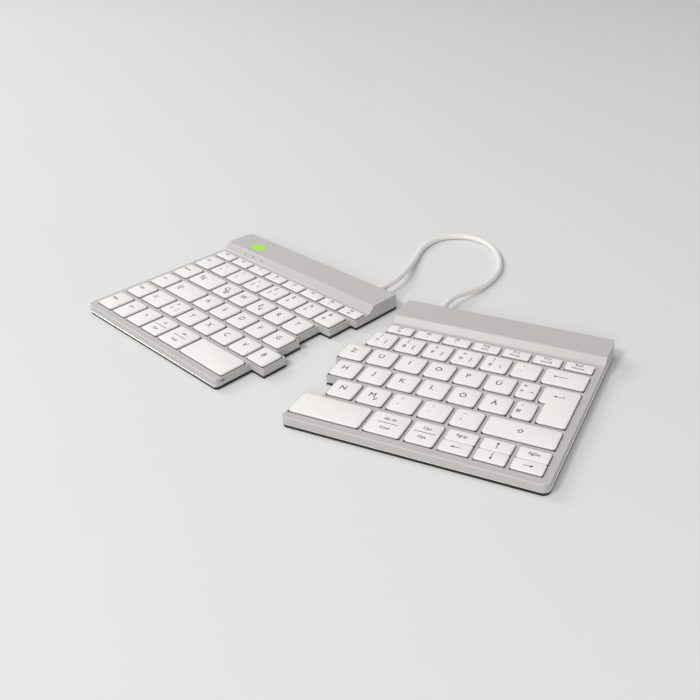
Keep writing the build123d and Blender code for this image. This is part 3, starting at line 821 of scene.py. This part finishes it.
def rolled_plate(name, screw_name):
    """A copy of a base plate whose rim is let out, turned down and rounded."""
    half = half_of(name)
    spots = [halves[half] @ ((low + high) / 2) for low, high in screws[screw_name]]
    plate = bpy.data.objects.new(name, nodes[name].data.copy())
    bpy.context.scene.collection.objects.link(plate)
    edit_faces(plate, lambda face: True)
    bpy.ops.mesh.remove_doubles(threshold=MERGE * MM)
    bpy.ops.mesh.customdata_custom_splitnormals_clear()
    bpy.ops.object.mode_set(mode="OBJECT")
    innermost = max if half == "left_half" else min
    inner_x = innermost((halves[half].inverted() @ vertex.co).x for vertex in plate.data.vertices)
    let_out(plate, lambda face: is_upright(face, spots), RIM_GROWTH)
    let_out(
        plate,
        lambda face: is_upright(face, spots) and not is_meshing(face, half, inner_x),
        RIM_PROUD,
    )
    edit_faces(plate, lambda face: is_rim(face, spots) and face.normal.z < -UPRIGHT)
    bpy.ops.mesh.extrude_region_move()
    bpy.ops.transform.resize(value=(1, 1, 0), center_override=(0, 0, LIP_FOOT_Z * MM))
    bpy.ops.object.mode_set(mode="OBJECT")
    rounding = plate.modifiers.new("rolled_edge", "BEVEL")
    rounding.width = PLATE_ROUND * MM
    rounding.segments = PLATE_ROUND_STEPS
    rounding.angle_limit = BEVEL_FROM
    bpy.ops.object.modifier_apply(modifier=rounding.name)
    return plate


for name, screw_name in (("base_plate_left", "screws_left"), ("base_plate_right", "screws_right")):
    rolled = rolled_plate(name, screw_name)
    grown = [rolled.dimensions[axis] - nodes[name].dimensions[axis] for axis in range(3)]
    finish_piece(rolled, "rolled_" + name, nodes[name]["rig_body"], name, "polished_steel")
    print(name, "is wider by", [round(size / MM, 2) for size in grown], "mm")

# %% [markdown]
# ## Screws
# Countersunk machine screws hold the plates. Each is a disc that is raised ring by ring: head,
# cone and shank. The cross recess in its head is cut by two thin bars with Boolean modifiers.

# %% Model the screws
SCREW_SIDES = 32
SCREW_HEAD_RADIUS = 1.75
SCREW_RADIUS = 0.9
SCREW_HEAD_RISE = 0.15
SCREW_CONE_TOP = 0.85
SCREW_TIP = 0.4
RECESS_LENGTH = 2.0
RECESS_WIDTH = 0.42
RECESS_DEPTH = 0.55
SCREW_TURN = math.radians(37)


def cross_bar(turn):
    """One bar of the cross recess, standing through the head's face."""
    bpy.ops.object.select_all(action="DESELECT")
    bpy.ops.mesh.primitive_cube_add(size=1, location=(0, 0, 0))
    bar = bpy.context.object
    bar.data.transform(Matrix.Diagonal((RECESS_LENGTH, RECESS_WIDTH, 2 * RECESS_DEPTH, 1)))
    bar.data.transform(Matrix.Rotation(turn, 4, "Z"))
    return bar


def model_screw(length):
    """One screw round the origin, its head's face at z 0 and its shank upwards."""
    bpy.ops.object.select_all(action="DESELECT")
    bpy.ops.mesh.primitive_circle_add(vertices=SCREW_SIDES, radius=SCREW_HEAD_RADIUS, fill_type="NGON")
    screw = bpy.context.object
    edit_faces(screw, lambda face: True)
    rings = [
        (0, SCREW_HEAD_RADIUS),
        (SCREW_HEAD_RISE, SCREW_HEAD_RADIUS),
        (SCREW_CONE_TOP, SCREW_RADIUS),
        (length - SCREW_TIP, SCREW_RADIUS),
        (length, SCREW_RADIUS - SCREW_TIP / 2),
    ]
    raise_rings(rings)
    close_outward()
    for turn in (0, math.pi / 2):
        bar = cross_bar(turn)
        cut = screw.modifiers.new("recess", "BOOLEAN")
        cut.operation = "DIFFERENCE"
        cut.object = bar
        select_only(screw)
        bpy.ops.object.modifier_apply(modifier=cut.name)
        bpy.data.objects.remove(bar)
    return screw


for name, boxes in screws.items():
    copies = []
    for i, (low, high) in enumerate(boxes):
        screw = model_screw(high.z - low.z)
        middle = (low + high) / 2
        place = Matrix.Translation((middle.x, middle.y, low.z))
        turned = Matrix.Rotation(i * SCREW_TURN, 4, "Z")
        screw.data.transform(halves[half_of(name)] @ place @ turned)
        copies.append(screw)
    group = join(copies, name)
    finish_piece(group, "machine_" + name, nodes[name]["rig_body"], name, "plated_steel")
print("screws modelled:", sum(len(boxes) for boxes in screws.values()))

# %% [markdown]
# ## Strain reliefs
# A relief is a soft tapered sleeve that keeps the cord from kinking at the wall. Ring grooves
# let it bend. It is raised from a disc too: the flange inside the wall, the neck through it,
# the ribbed sleeve behind it, nearly down to the cord's own thickness.

# %% Model the strain reliefs
RELIEF_SIDES = 40
RELIEF_START = -2.1
RELIEF_FLANGE = 3.1
RELIEF_NECK = 2.75
RELIEF_WALL = -0.9
RELIEF_ROOT = 3.55
RELIEF_TIP = 2.55
RELIEF_GROOVES = 3
GROOVE_FROM = 2.0
GROOVE_PITCH = 1.9
GROOVE_WIDTH = 0.85
GROOVE_DEPTH = 0.55
RELIEF_EDGE = 0.15
RELIEF_EDGE_STEPS = 2


def sleeve_radius(y):
    """The tapered sleeve's radius at a distance behind the wall."""
    return RELIEF_ROOT + (RELIEF_TIP - RELIEF_ROOT) * y / RELIEF_LENGTH


def model_relief():
    """One strain relief along Z, with the wall's outer face at z 0."""
    rings = [
        (RELIEF_START, RELIEF_FLANGE),
        (RELIEF_WALL, RELIEF_FLANGE),
        (RELIEF_WALL, RELIEF_NECK),
        (0, RELIEF_NECK),
        (0, RELIEF_ROOT),
    ]
    for i in range(RELIEF_GROOVES):
        near = GROOVE_FROM + i * GROOVE_PITCH
        far = near + GROOVE_WIDTH
        rings.append((near, sleeve_radius(near)))
        rings.append((near, sleeve_radius(near) - GROOVE_DEPTH))
        rings.append((far, sleeve_radius(far) - GROOVE_DEPTH))
        rings.append((far, sleeve_radius(far)))
    rings.append((RELIEF_LENGTH, RELIEF_TIP))
    bpy.ops.object.select_all(action="DESELECT")
    bpy.ops.mesh.primitive_circle_add(
        vertices=RELIEF_SIDES, radius=RELIEF_FLANGE, fill_type="NGON", location=(0, 0, RELIEF_START)
    )
    relief = bpy.context.object
    bpy.ops.object.transform_apply(location=True, rotation=True, scale=True)
    edit_faces(relief, lambda face: True)
    raise_rings(rings)
    close_outward()
    softening = relief.modifiers.new("soft_edges", "BEVEL")
    softening.width = RELIEF_EDGE
    softening.segments = RELIEF_EDGE_STEPS
    bpy.ops.object.modifier_apply(modifier=softening.name)
    return relief


for name, half in (("strain_relief_left", "left_half"), ("strain_relief_right", "right_half")):
    relief = model_relief()
    to_wall = Matrix.Translation((EXITS[half], CASE_REAR, CORD_Z)) @ Matrix.Rotation(-math.pi / 2, 4, "X")
    relief.data.transform(halves[half] @ to_wall)
    finish_piece(relief, "ribbed_" + name, nodes[name]["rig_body"], name, "white_cord_jacket")
print("relief:", len(relief.data.polygons), "faces")

# %% [markdown]
# ## Status light
# The oval lens on the left deck is green plastic, lit from below. Its flange lies on the deck
# and its face has a low crown. Below it a guide reaches down to the board. The crown is raised
# in rings that follow a quarter ellipse.

# %% Model the status light
LENS_HALF = (6.6, 4.4)
LENS_PLACE = (5.2, 111.7)
LENS_FLANGE = 0.1
LENS_CROWN = 0.22
CROWN_STEPS = 5
LENS_PLUG_SHARE = 0.8
GUIDE_SHARE = 0.3
DECK_Z = 11.4
ROOF = 1.2
GUIDE_FOOT_Z = 3.5
LENS_SIDES = 64


def model_lens():
    """The lens round the origin in plan, at its real heights."""
    bpy.ops.object.select_all(action="DESELECT")
    bpy.ops.mesh.primitive_circle_add(vertices=LENS_SIDES, radius=1, fill_type="NGON")
    lens = bpy.context.object
    lens.data.transform(Matrix.Translation((0, 0, GUIDE_FOOT_Z)) @ Matrix.Scale(GUIDE_SHARE, 4))
    rings = [
        (GUIDE_FOOT_Z, GUIDE_SHARE),
        (DECK_Z - ROOF, GUIDE_SHARE),
        (DECK_Z - ROOF, LENS_PLUG_SHARE),
        (DECK_Z, LENS_PLUG_SHARE),
        (DECK_Z, 1),
        (DECK_Z + LENS_FLANGE, 1),
    ]
    for step in range(1, CROWN_STEPS):
        angle = math.pi / 2 * step / CROWN_STEPS
        rings.append((DECK_Z + LENS_FLANGE + LENS_CROWN * math.sin(angle), math.cos(angle)))
    edit_faces(lens, lambda face: True)
    raise_rings(rings)
    close_outward()
    lens.data.transform(Matrix.Diagonal((*LENS_HALF, 1, 1)))
    return lens


lens = model_lens()
lens.data.transform(halves["left_half"] @ Matrix.Translation((*LENS_PLACE, 0)))
finish_piece(lens, "crowned_status_light", "left_half", "status_light", "green_lens")
print("lens:", [round(size / MM, 1) for size in lens.dimensions], "mm")

# %% [markdown]
# ## Keycaps
# A flat keycap is a hollow shell of moulded plastic: rounded corners, a softly rounded top
# edge, a wall all round and a roof. Each size is modelled once from a plane: its corners are
# bevelled, it is extruded to its height, its top edge is rounded, and its underside is inset and
# pushed up. The frame tells where each cap stands: its solids are measured on the key grid.

# %% Measure the caps on the key grid
key_names = sorted(name for name in nodes if name.startswith("key_") and "circuit" not in name)
key_names += sorted(name for name in nodes if name.startswith("keys_"))
caps = {name: solid_boxes(name) for name in key_names}
cap_top = caps["key_q"][0][1].z
print("caps:", sum(len(boxes) for boxes in caps.values()), "on", len(caps), "moving bodies")
print("cap top:", round(cap_top, 2), "mm above the desk")

# %% [markdown]
# The enter key is the one cap that isn't a rectangle. It starts from the plane of its whole
# length too: two cuts mark the corner that the narrow key in front of it takes, and that
# corner's face is deleted.

# %% Model a cap
CAP_CORNER = 2.0
CAP_CORNER_SHARE = 0.13
CAP_EDGE = 0.55
CAP_TUCK = 0.4
CAP_WALL = 1.1
CAP_ROOF = 1.2
CORNER_STEPS = 5
EDGE_STEPS = 3
ENTER_NEIGHBOUR = 4
ENTER_REAR_NEIGHBOUR = 1
FLAT_WITHIN = math.radians(1)
FACING_DOWN = -0.5


def start_plane(width, depth, z):
    """A flat rectangle round the origin, sized in millimetres."""
    bpy.ops.object.select_all(action="DESELECT")
    bpy.ops.mesh.primitive_plane_add(size=1, location=(0, 0, z))
    piece = bpy.context.object
    piece.scale = (width, depth, 1)
    bpy.ops.object.transform_apply(location=True, rotation=True, scale=True)
    return piece


def cut_notch(plane, notch):
    """Takes the front left corner out of a plane. Notch is the corner's inner point."""
    for axis in ((1, 0, 0), (0, 1, 0)):
        edit_faces(plane, lambda face: True)
        bpy.ops.mesh.bisect(plane_co=(*notch, plane.data.vertices[0].co.z), plane_no=axis)
        bpy.ops.object.mode_set(mode="OBJECT")
    edit_faces(
        plane,
        lambda face: face.calc_center_median().x < notch[0] and face.calc_center_median().y < notch[1],
    )
    bpy.ops.mesh.delete(type="FACE")
    bpy.ops.mesh.select_all(action="SELECT")
    bpy.ops.mesh.dissolve_limited(angle_limit=FLAT_WITHIN)
    bpy.ops.object.mode_set(mode="OBJECT")


def model_cap(width, depth, height, notch=None):
    """One hollow cap round the origin, with its foot at z 0, in millimetres. Its walls lean in
    a little towards the foot, so that a pressed cap doesn't rub on the shell. The corners of
    a shallow cap are tighter."""
    cap = start_plane(width, depth, 0)
    corner = min(CAP_CORNER, CAP_CORNER_SHARE * depth)
    if notch:
        cut_notch(cap, notch)
    edit_faces(cap, lambda face: True)
    bpy.ops.mesh.select_mode(type="VERT")
    if notch:
        cage = bmesh.from_edit_mesh(cap.data)
        for vertex in cage.verts:
            vertex.select_set((vertex.co.xy - Vector(notch)).length > corner)
        bmesh.update_edit_mesh(cap.data)
    bpy.ops.mesh.bevel(offset=corner, segments=CORNER_STEPS, affect="VERTICES")
    bpy.ops.mesh.select_mode(type="FACE")
    bpy.ops.mesh.select_all(action="SELECT")
    bpy.ops.mesh.extrude_region_move(TRANSFORM_OT_translate={"value": (0, 0, height)})
    bpy.ops.mesh.bevel(offset=CAP_EDGE, segments=EDGE_STEPS, affect="EDGES")
    bpy.ops.mesh.select_all(action="DESELECT")
    cage = bmesh.from_edit_mesh(cap.data)
    for vertex in cage.verts:
        if vertex.co.z < height / 2:
            vertex.co.x *= 1 - 2 * CAP_TUCK / width
            vertex.co.y *= 1 - 2 * CAP_TUCK / depth
    bmesh.update_edit_mesh(cap.data)
    close_outward()
    edit_faces(cap, lambda face: face.normal.z < FACING_DOWN)
    bpy.ops.mesh.inset(thickness=CAP_WALL)
    bpy.ops.mesh.extrude_region_move(TRANSFORM_OT_translate={"value": (0, 0, height - CAP_ROOF)})
    bpy.ops.object.mode_set(mode="OBJECT")
    select_only(cap)
    bpy.ops.object.shade_smooth_by_angle(angle=SMOOTH_ANGLE)
    return cap


q_low, q_high = caps["key_q"][0]
trial = model_cap(*(q_high - q_low))
print("one letter cap:", len(trial.data.polygons), "faces")
bpy.data.objects.remove(trial)

# %% [markdown]
# Caps of one size are one model. Each cap of the keyboard is a copy with its own mesh, carried
# to its place on its half. The caps that travel together in the frame become one piece, and
# that piece stands for the frame's node.

# %% Set the caps
models = {}


def notch_of(name, low, high):
    """The step of the enter key, from the narrow cap in front of it, measured from its middle."""
    if name != "key_enter":
        return None
    narrow_low, narrow_high = caps["keys_symbol_right"][ENTER_NEIGHBOUR]
    rear_low = caps["keys_symbol_right"][ENTER_REAR_NEIGHBOUR][0]
    gap = narrow_low.x - caps["keys_symbol_right"][ENTER_NEIGHBOUR - 1][1].x
    middle = (low + high) / 2
    return (narrow_high.x + gap - middle.x, rear_low.y - middle.y)


def set_cap(name, low, high):
    """A copy of the model of a cap's size, at its place on the desk."""
    size = tuple(round(value, 2) for value in high - low)
    if size not in models:
        models[size] = model_cap(*size, notch_of(name, low, high)).data
    cap = bpy.data.objects.new(name, models[size].copy())
    bpy.context.scene.collection.objects.link(cap)
    middle = (low + high) / 2
    place = Matrix.Translation((middle.x, middle.y, low.z))
    cap.data.transform(halves[half_of(name)] @ place)
    return cap


for name, boxes in caps.items():
    bank = join([set_cap(name, low, high) for low, high in boxes], "cap_" + name)
    bank.data.materials.append(finishes["keycap_plastic"])
    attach(bank, nodes[name]["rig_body"])
    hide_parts(name)
for thing in [thing for thing in bpy.context.scene.objects if thing.data in models.values()]:
    bpy.data.objects.remove(thing)
print("cap sizes:", len(models), "cap pieces:", len(caps))

# %% [markdown]
# ## Legends
# Legends are pad printed: a thin layer of dark grey ink on each cap, and blue ink for what a
# key does together with the function key. They are plain letters, figures and signs. Each is
# given as what it says, where on its cap it stands, how large it is and in which ink.

# %% Layouts of a cap's marks
LETTER_SIZE = 5.6
SIGN_SIZE = 4.5
WORD_SIZE = 2.9
SMALL_SIZE = 3.1
RULE_LENGTH = 12.5
ARROW_LENGTH = 4.4
BACKSPACE_ARROW_LENGTH = 8.0
RETURN_ARROW_LENGTH = 4.8
LETTER_AT = (-1.2, 1.0)
LETTER_SECOND_AT = (1.9, -2.4)
FIGURE_AT = (-3.2, -1.6)
SHIFTED_AT = (-2.6, 3.9)
THIRD_AT = (3.0, -1.6)
WORD_ABOVE_AT = (0, 4.0)
RULE_AT = (0, 0.4)
WORD_BELOW_AT = (0, -3.8)
FUNCTION_AT = (-0.6, 1.7)
FUNCTION_SECOND_AT = (-0.6, -1.7)


def letter(mark, second=""):
    """A letter in the middle, with a smaller sign beside its foot."""
    return [(mark, LETTER_AT, LETTER_SIZE, grey_ink), (second, LETTER_SECOND_AT, SIGN_SIZE, grey_ink)]


def figure(base, shifted, third=""):
    """A figure at the left, its shifted sign above it and a third sign at the right."""
    return [
        (base, FIGURE_AT, SIGN_SIZE, grey_ink),
        (shifted, SHIFTED_AT, SIGN_SIZE, grey_ink),
        (third, THIRD_AT, SIGN_SIZE, grey_ink),
    ]


def word(mark, below="", ink=grey_ink, size=WORD_SIZE, at=(0.0, 0.0)):
    """A word in the middle, or in the upper half of a cap with a second word under it."""
    if not below:
        return [(mark, at, size, ink)]
    return [
        (mark, WORD_ABOVE_AT, size, ink),
        ("line", RULE_AT, RULE_LENGTH, ink),
        (below, WORD_BELOW_AT, size, ink),
    ]


def function(mark, below=""):
    """A function key: its name, and under it what it does with the function key held."""
    return [
        (mark, FUNCTION_AT, SMALL_SIZE, grey_ink),
        (below, FUNCTION_SECOND_AT, SMALL_SIZE, blue_ink),
    ]


print("a figure key reads", [mark for mark, at, size, ink in figure("2", '"', "²")])

# %% Marks of the letters, functions and figures
legends = {"key_" + mark: [letter(mark.upper())] for mark in "wrtasdfgyxcvbzuiophjkln"}
legends["key_q"] = [letter("Q", "@")]
legends["key_e"] = [letter("E", "€")]
legends["key_m"] = [letter("M", "µ")]
legends["keys_function_left"] = [
    function("Esc"),
    function("Ins"),
    function("F1", "♩"),
    function("F2", "◂◂"),
    function("F3", "▸▸"),
    function("F4"),
    function("F5", "▪"),
    function("F6", "☼"),
]
legends["keys_function_right"] = [
    function("F7", "☼"),
    function("F8", "◂"),
    function("F9", "▸"),
    function("F10", "A⇅"),
    function("F11", "Print"),
    function("F12", "Scroll"),
    function("End", "Home"),
]
legends["keys_digit_left"] = [
    figure("^", "°"),
    figure("1", "!"),
    figure("2", '"', "²"),
    figure("3", "§", "³"),
    figure("4", "$"),
    figure("5", "%"),
    figure("6", "&"),
]
legends["keys_digit_right"] = [
    figure("7", "/", "{"),
    figure("8", "(", "["),
    figure("9", ")", "]"),
    figure("0", "=", "}"),
    figure("ß", "?", "\\"),
    figure("´", "`"),
]
legends["keys_symbol_right"] = [
    letter("Ü"),
    figure("+", "*", "~"),
    letter("Ö"),
    letter("Ä"),
    figure("#", "'"),
    figure(",", ";"),
    figure(".", ":"),
    figure("-", "_"),
]
print("keys with legends so far:", len(legends))

# %% Marks of the keys around them
SIDE_AT = (-3.0, 1.5)

legends["keys_macro_left"] = [
    word("Del", at=SIDE_AT),
    word("Home", at=SIDE_AT),
    word("Cut", at=SIDE_AT),
    word("Copy", at=SIDE_AT),
    word("Paste", at=SIDE_AT),
]
legends["keys_modifier_left"] = [
    word("↹", size=LETTER_SIZE, at=(-6.0, 0.5)),
    word("⇪", size=LETTER_SIZE, at=(-8.0, 0.5)),
    figure("<", ">", "|"),
    word("Ctrl", at=(-1.0, 2.0)),
    word("Fn", ink=blue_ink, at=(-0.5, 2.0)),
    word("◇", "Opt"),
    word("Alt", "Cmd"),
]
legends["keys_navigation_right"] = [
    word("PgUp"),
    word("up", size=ARROW_LENGTH),
    word("PgDn"),
    word("Alt Gr", "Cmd"),
    word("Ctrl", "Opt"),
    word("left", size=ARROW_LENGTH),
    word("down", size=ARROW_LENGTH),
    word("right", size=ARROW_LENGTH),
]
legends["key_shift_left"] = [word("⇧", size=SIGN_SIZE, at=(-4.0, 0.5))]
legends["key_shift_right"] = [word("⇧", size=SIGN_SIZE, at=(-1.0, 0.5))]
legends["key_backspace"] = [word("left", size=BACKSPACE_ARROW_LENGTH, at=(-3.0, 0.5))]
legends["key_enter"] = [word("return", size=RETURN_ARROW_LENGTH, at=(-0.8, 9.5))]
print("keys with legends:", len(legends))

# %% [markdown]
# Each mark becomes a layer a few hundredths of a millimetre thick that lies on its cap, and the
# marks of one moving body are one piece. A text is made a mesh, with its outline spread a
# little, as ink spreads under the pad. A few signs of the typeface come out of that with holes
# in their faces, so only signs that close are used. Lines and arrows are drawn from planes and
# a three-sided circle, because a typeface draws its arrows short and heavy.

# %% Print the legends
INK_THICKNESS = 0.04
INK_SUNK = 0.01
INK_SPREAD = 0.07
CURVE_STEPS = 3
LINE_WIDTH = 0.45
HEAD_LENGTH = 1.25
HEAD_WIDTH = 1.05
RETURN_RISE = 1.5
STROKE_TURNS = {"line": 0, "left": 0, "return": 0, "down": 90, "right": 180, "up": -90}


def strokes(mark, length):
    """The flat outlines of a line or an arrow round the origin: its shaft, its head and, on the
    return arrow, an upright stroke at the far end."""
    shaft = start_plane(length, LINE_WIDTH, 0)
    if mark == "line":
        return [shaft]
    bpy.ops.object.select_all(action="DESELECT")
    bpy.ops.mesh.primitive_circle_add(vertices=3, radius=1, fill_type="NGON")
    head = bpy.context.object
    head.data.transform(Matrix.Rotation(math.pi / 2, 4, "Z"))
    head.data.transform(Matrix.Diagonal((HEAD_LENGTH, HEAD_WIDTH, 1, 1)))
    head.data.transform(Matrix.Translation((-length / 2, 0, 0)))
    if mark != "return":
        return [shaft, head]
    upright = start_plane(LINE_WIDTH, RETURN_RISE, 0)
    upright.data.transform(Matrix.Translation((length / 2, RETURN_RISE / 2, 0)))
    return [shaft, head, upright]


def printed(mark, size, ink):
    """One mark round the origin, in millimetres, as a thin solid layer of ink."""
    if mark in STROKE_TURNS:
        layer = join(strokes(mark, size), mark)
        layer.data.transform(Matrix.Rotation(math.radians(STROKE_TURNS[mark]), 4, "Z"))
        edit_faces(layer, lambda face: True)
        bpy.ops.mesh.extrude_region_move(TRANSFORM_OT_translate={"value": (0, 0, INK_THICKNESS)})
        close_outward()
    else:
        bpy.ops.object.select_all(action="DESELECT")
        bpy.ops.object.text_add(location=(0, 0, 0))
        layer = bpy.context.object
        layer.data.body = mark
        layer.data.size = size
        layer.data.extrude = INK_THICKNESS / 2
        layer.data.bevel_depth = INK_SPREAD
        layer.data.bevel_resolution = 0
        layer.data.resolution_u = CURVE_STEPS
        bpy.ops.object.convert(target="MESH")
    spots = [vertex.co for vertex in layer.data.vertices]
    middle = [(min(spot[i] for spot in spots) + max(spot[i] for spot in spots)) / 2 for i in (0, 1)]
    foot = min(spot.z for spot in spots)
    thickness = max(spot.z for spot in spots) - foot
    layer.data.transform(Matrix.Translation((-middle[0], -middle[1], -foot)))
    layer.data.transform(Matrix.Diagonal((1, 1, INK_THICKNESS / thickness, 1)))
    layer.data.materials.clear()
    layer.data.materials.append(ink)
    return layer


for name, cap_legends in legends.items():
    marks = []
    assert len(cap_legends) == len(caps[name]), name
    for (low, high), cap_marks in zip(caps[name], cap_legends):
        for mark, at, size, ink in cap_marks:
            if mark:
                layer = printed(mark, size, ink)
                middle = (low + high) / 2
                place = Matrix.Translation((middle.x + at[0], middle.y + at[1], high.z - INK_SUNK))
                layer.data.transform(halves[half_of(name)] @ place)
                marks.append(layer)
    legend = join(marks, "legend_" + name)
    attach(legend, nodes[name]["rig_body"])
print("legends:", sum(len(mark) > 0 for marks in legends.values() for mark in marks), "on caps")

# %% [markdown]
# The three indicator lights on the slope have their figures behind them on the deck, in a
# paler ink.

# %% Number the indicator lights
INDICATORS = 3
INDICATOR_X = 1.4
INDICATOR_PITCH = 9.6
NUMBER_Y = 105.2
NUMBER_SIZE = 2.6

numbers = []
for i in range(INDICATORS):
    number = printed(str(i + 1), NUMBER_SIZE, faint_ink)
    place = Matrix.Translation((INDICATOR_X + i * INDICATOR_PITCH, NUMBER_Y, DECK_Z - INK_SUNK))
    number.data.transform(halves["left_half"] @ place)
    numbers.append(number)
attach(join(numbers, "indicator_numbers"), "left_half")
print("indicator numbers:", len(numbers))

# %% [markdown]
# ## Stage and light
# The floor is a plain pale sheet. Three softboxes light the keyboard. One hangs in front and
# above: it brightens the tops, the front walls and, by its reflection, the slope of the right
# half. A second one stands at the left and lays the soft shadow to the right. A third one
# stands low in front and to the right, and keeps the walls of the steps from going dark. The
# world lights the rest evenly, and looks nearly white to the camera and in reflections.

# %% Lamps and floor
FLOOR_SIZE = 8.0
FLOOR_CLOUD = 400.0
LAMPS = {
    "softbox_front": ((-0.55, -1.45, 1.96), 0.8, 25.5, "#fff9f3"),
    "softbox_left": ((-2.00, 0.12, 1.50), 1.0, 15.0, "#ffffff"),
    "softbox_right": ((0.88, -2.08, 1.08), 0.8, 15.0, "#ffffff"),
}

for name, (place, size, power, tone) in LAMPS.items():
    bpy.ops.object.select_all(action="DESELECT")
    bpy.ops.object.light_add(type="AREA", location=place)
    softbox = bpy.context.object
    softbox.name = name
    softbox.data.size = size
    softbox.data.energy = power
    softbox.data.color = colour(tone)[:3]
    softbox.rotation_euler = Vector(place).to_track_quat("Z", "Y").to_euler()

bpy.ops.object.select_all(action="DESELECT")
bpy.ops.mesh.primitive_plane_add(size=FLOOR_SIZE)
floor = bpy.context.object
floor.name = "floor"
floor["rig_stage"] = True
paper, tree, shader, place = new_material("pale_paper", Roughness=0.8, Specular_IOR_Level=0.2)
vary(tree, shader, place, FLOOR_CLOUD, tones=("#e2e4e6", "#e6e8ea"))
floor.data.materials.append(paper)
print("floor:", FLOOR_SIZE, "m wide")

# %% World
WORLD_STRENGTH = 0.40
WORLD_SEEN = 0.92

world = bpy.data.worlds.new("studio")
bpy.context.scene.world = world
world.use_nodes = True
sky = world.node_tree
background = sky.nodes["Background"]
background.inputs["Color"].default_value = colour("#ffffff")
ray = put(sky, "ShaderNodeLightPath", {})
either = put(
    sky,
    "ShaderNodeMath",
    {0: ray.outputs["Is Camera Ray"], 1: ray.outputs["Is Glossy Ray"]},
    operation="MAXIMUM",
)
seen = put(
    sky,
    "ShaderNodeMath",
    {0: either.outputs["Value"], 1: ray.outputs["Is Transmission Ray"]},
    operation="MAXIMUM",
)
strength = put(
    sky,
    "ShaderNodeMapRange",
    {"Value": seen.outputs["Value"], "To Min": WORLD_STRENGTH, "To Max": WORLD_SEEN},
)
sky.links.new(strength.outputs["Result"], background.inputs["Strength"])
bpy.context.scene.view_settings.view_transform = "Standard"

# %% Print the size and finish
low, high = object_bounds()
print("size:", [round((b - a) / MM, 1) for a, b in zip(low, high)], "mm")
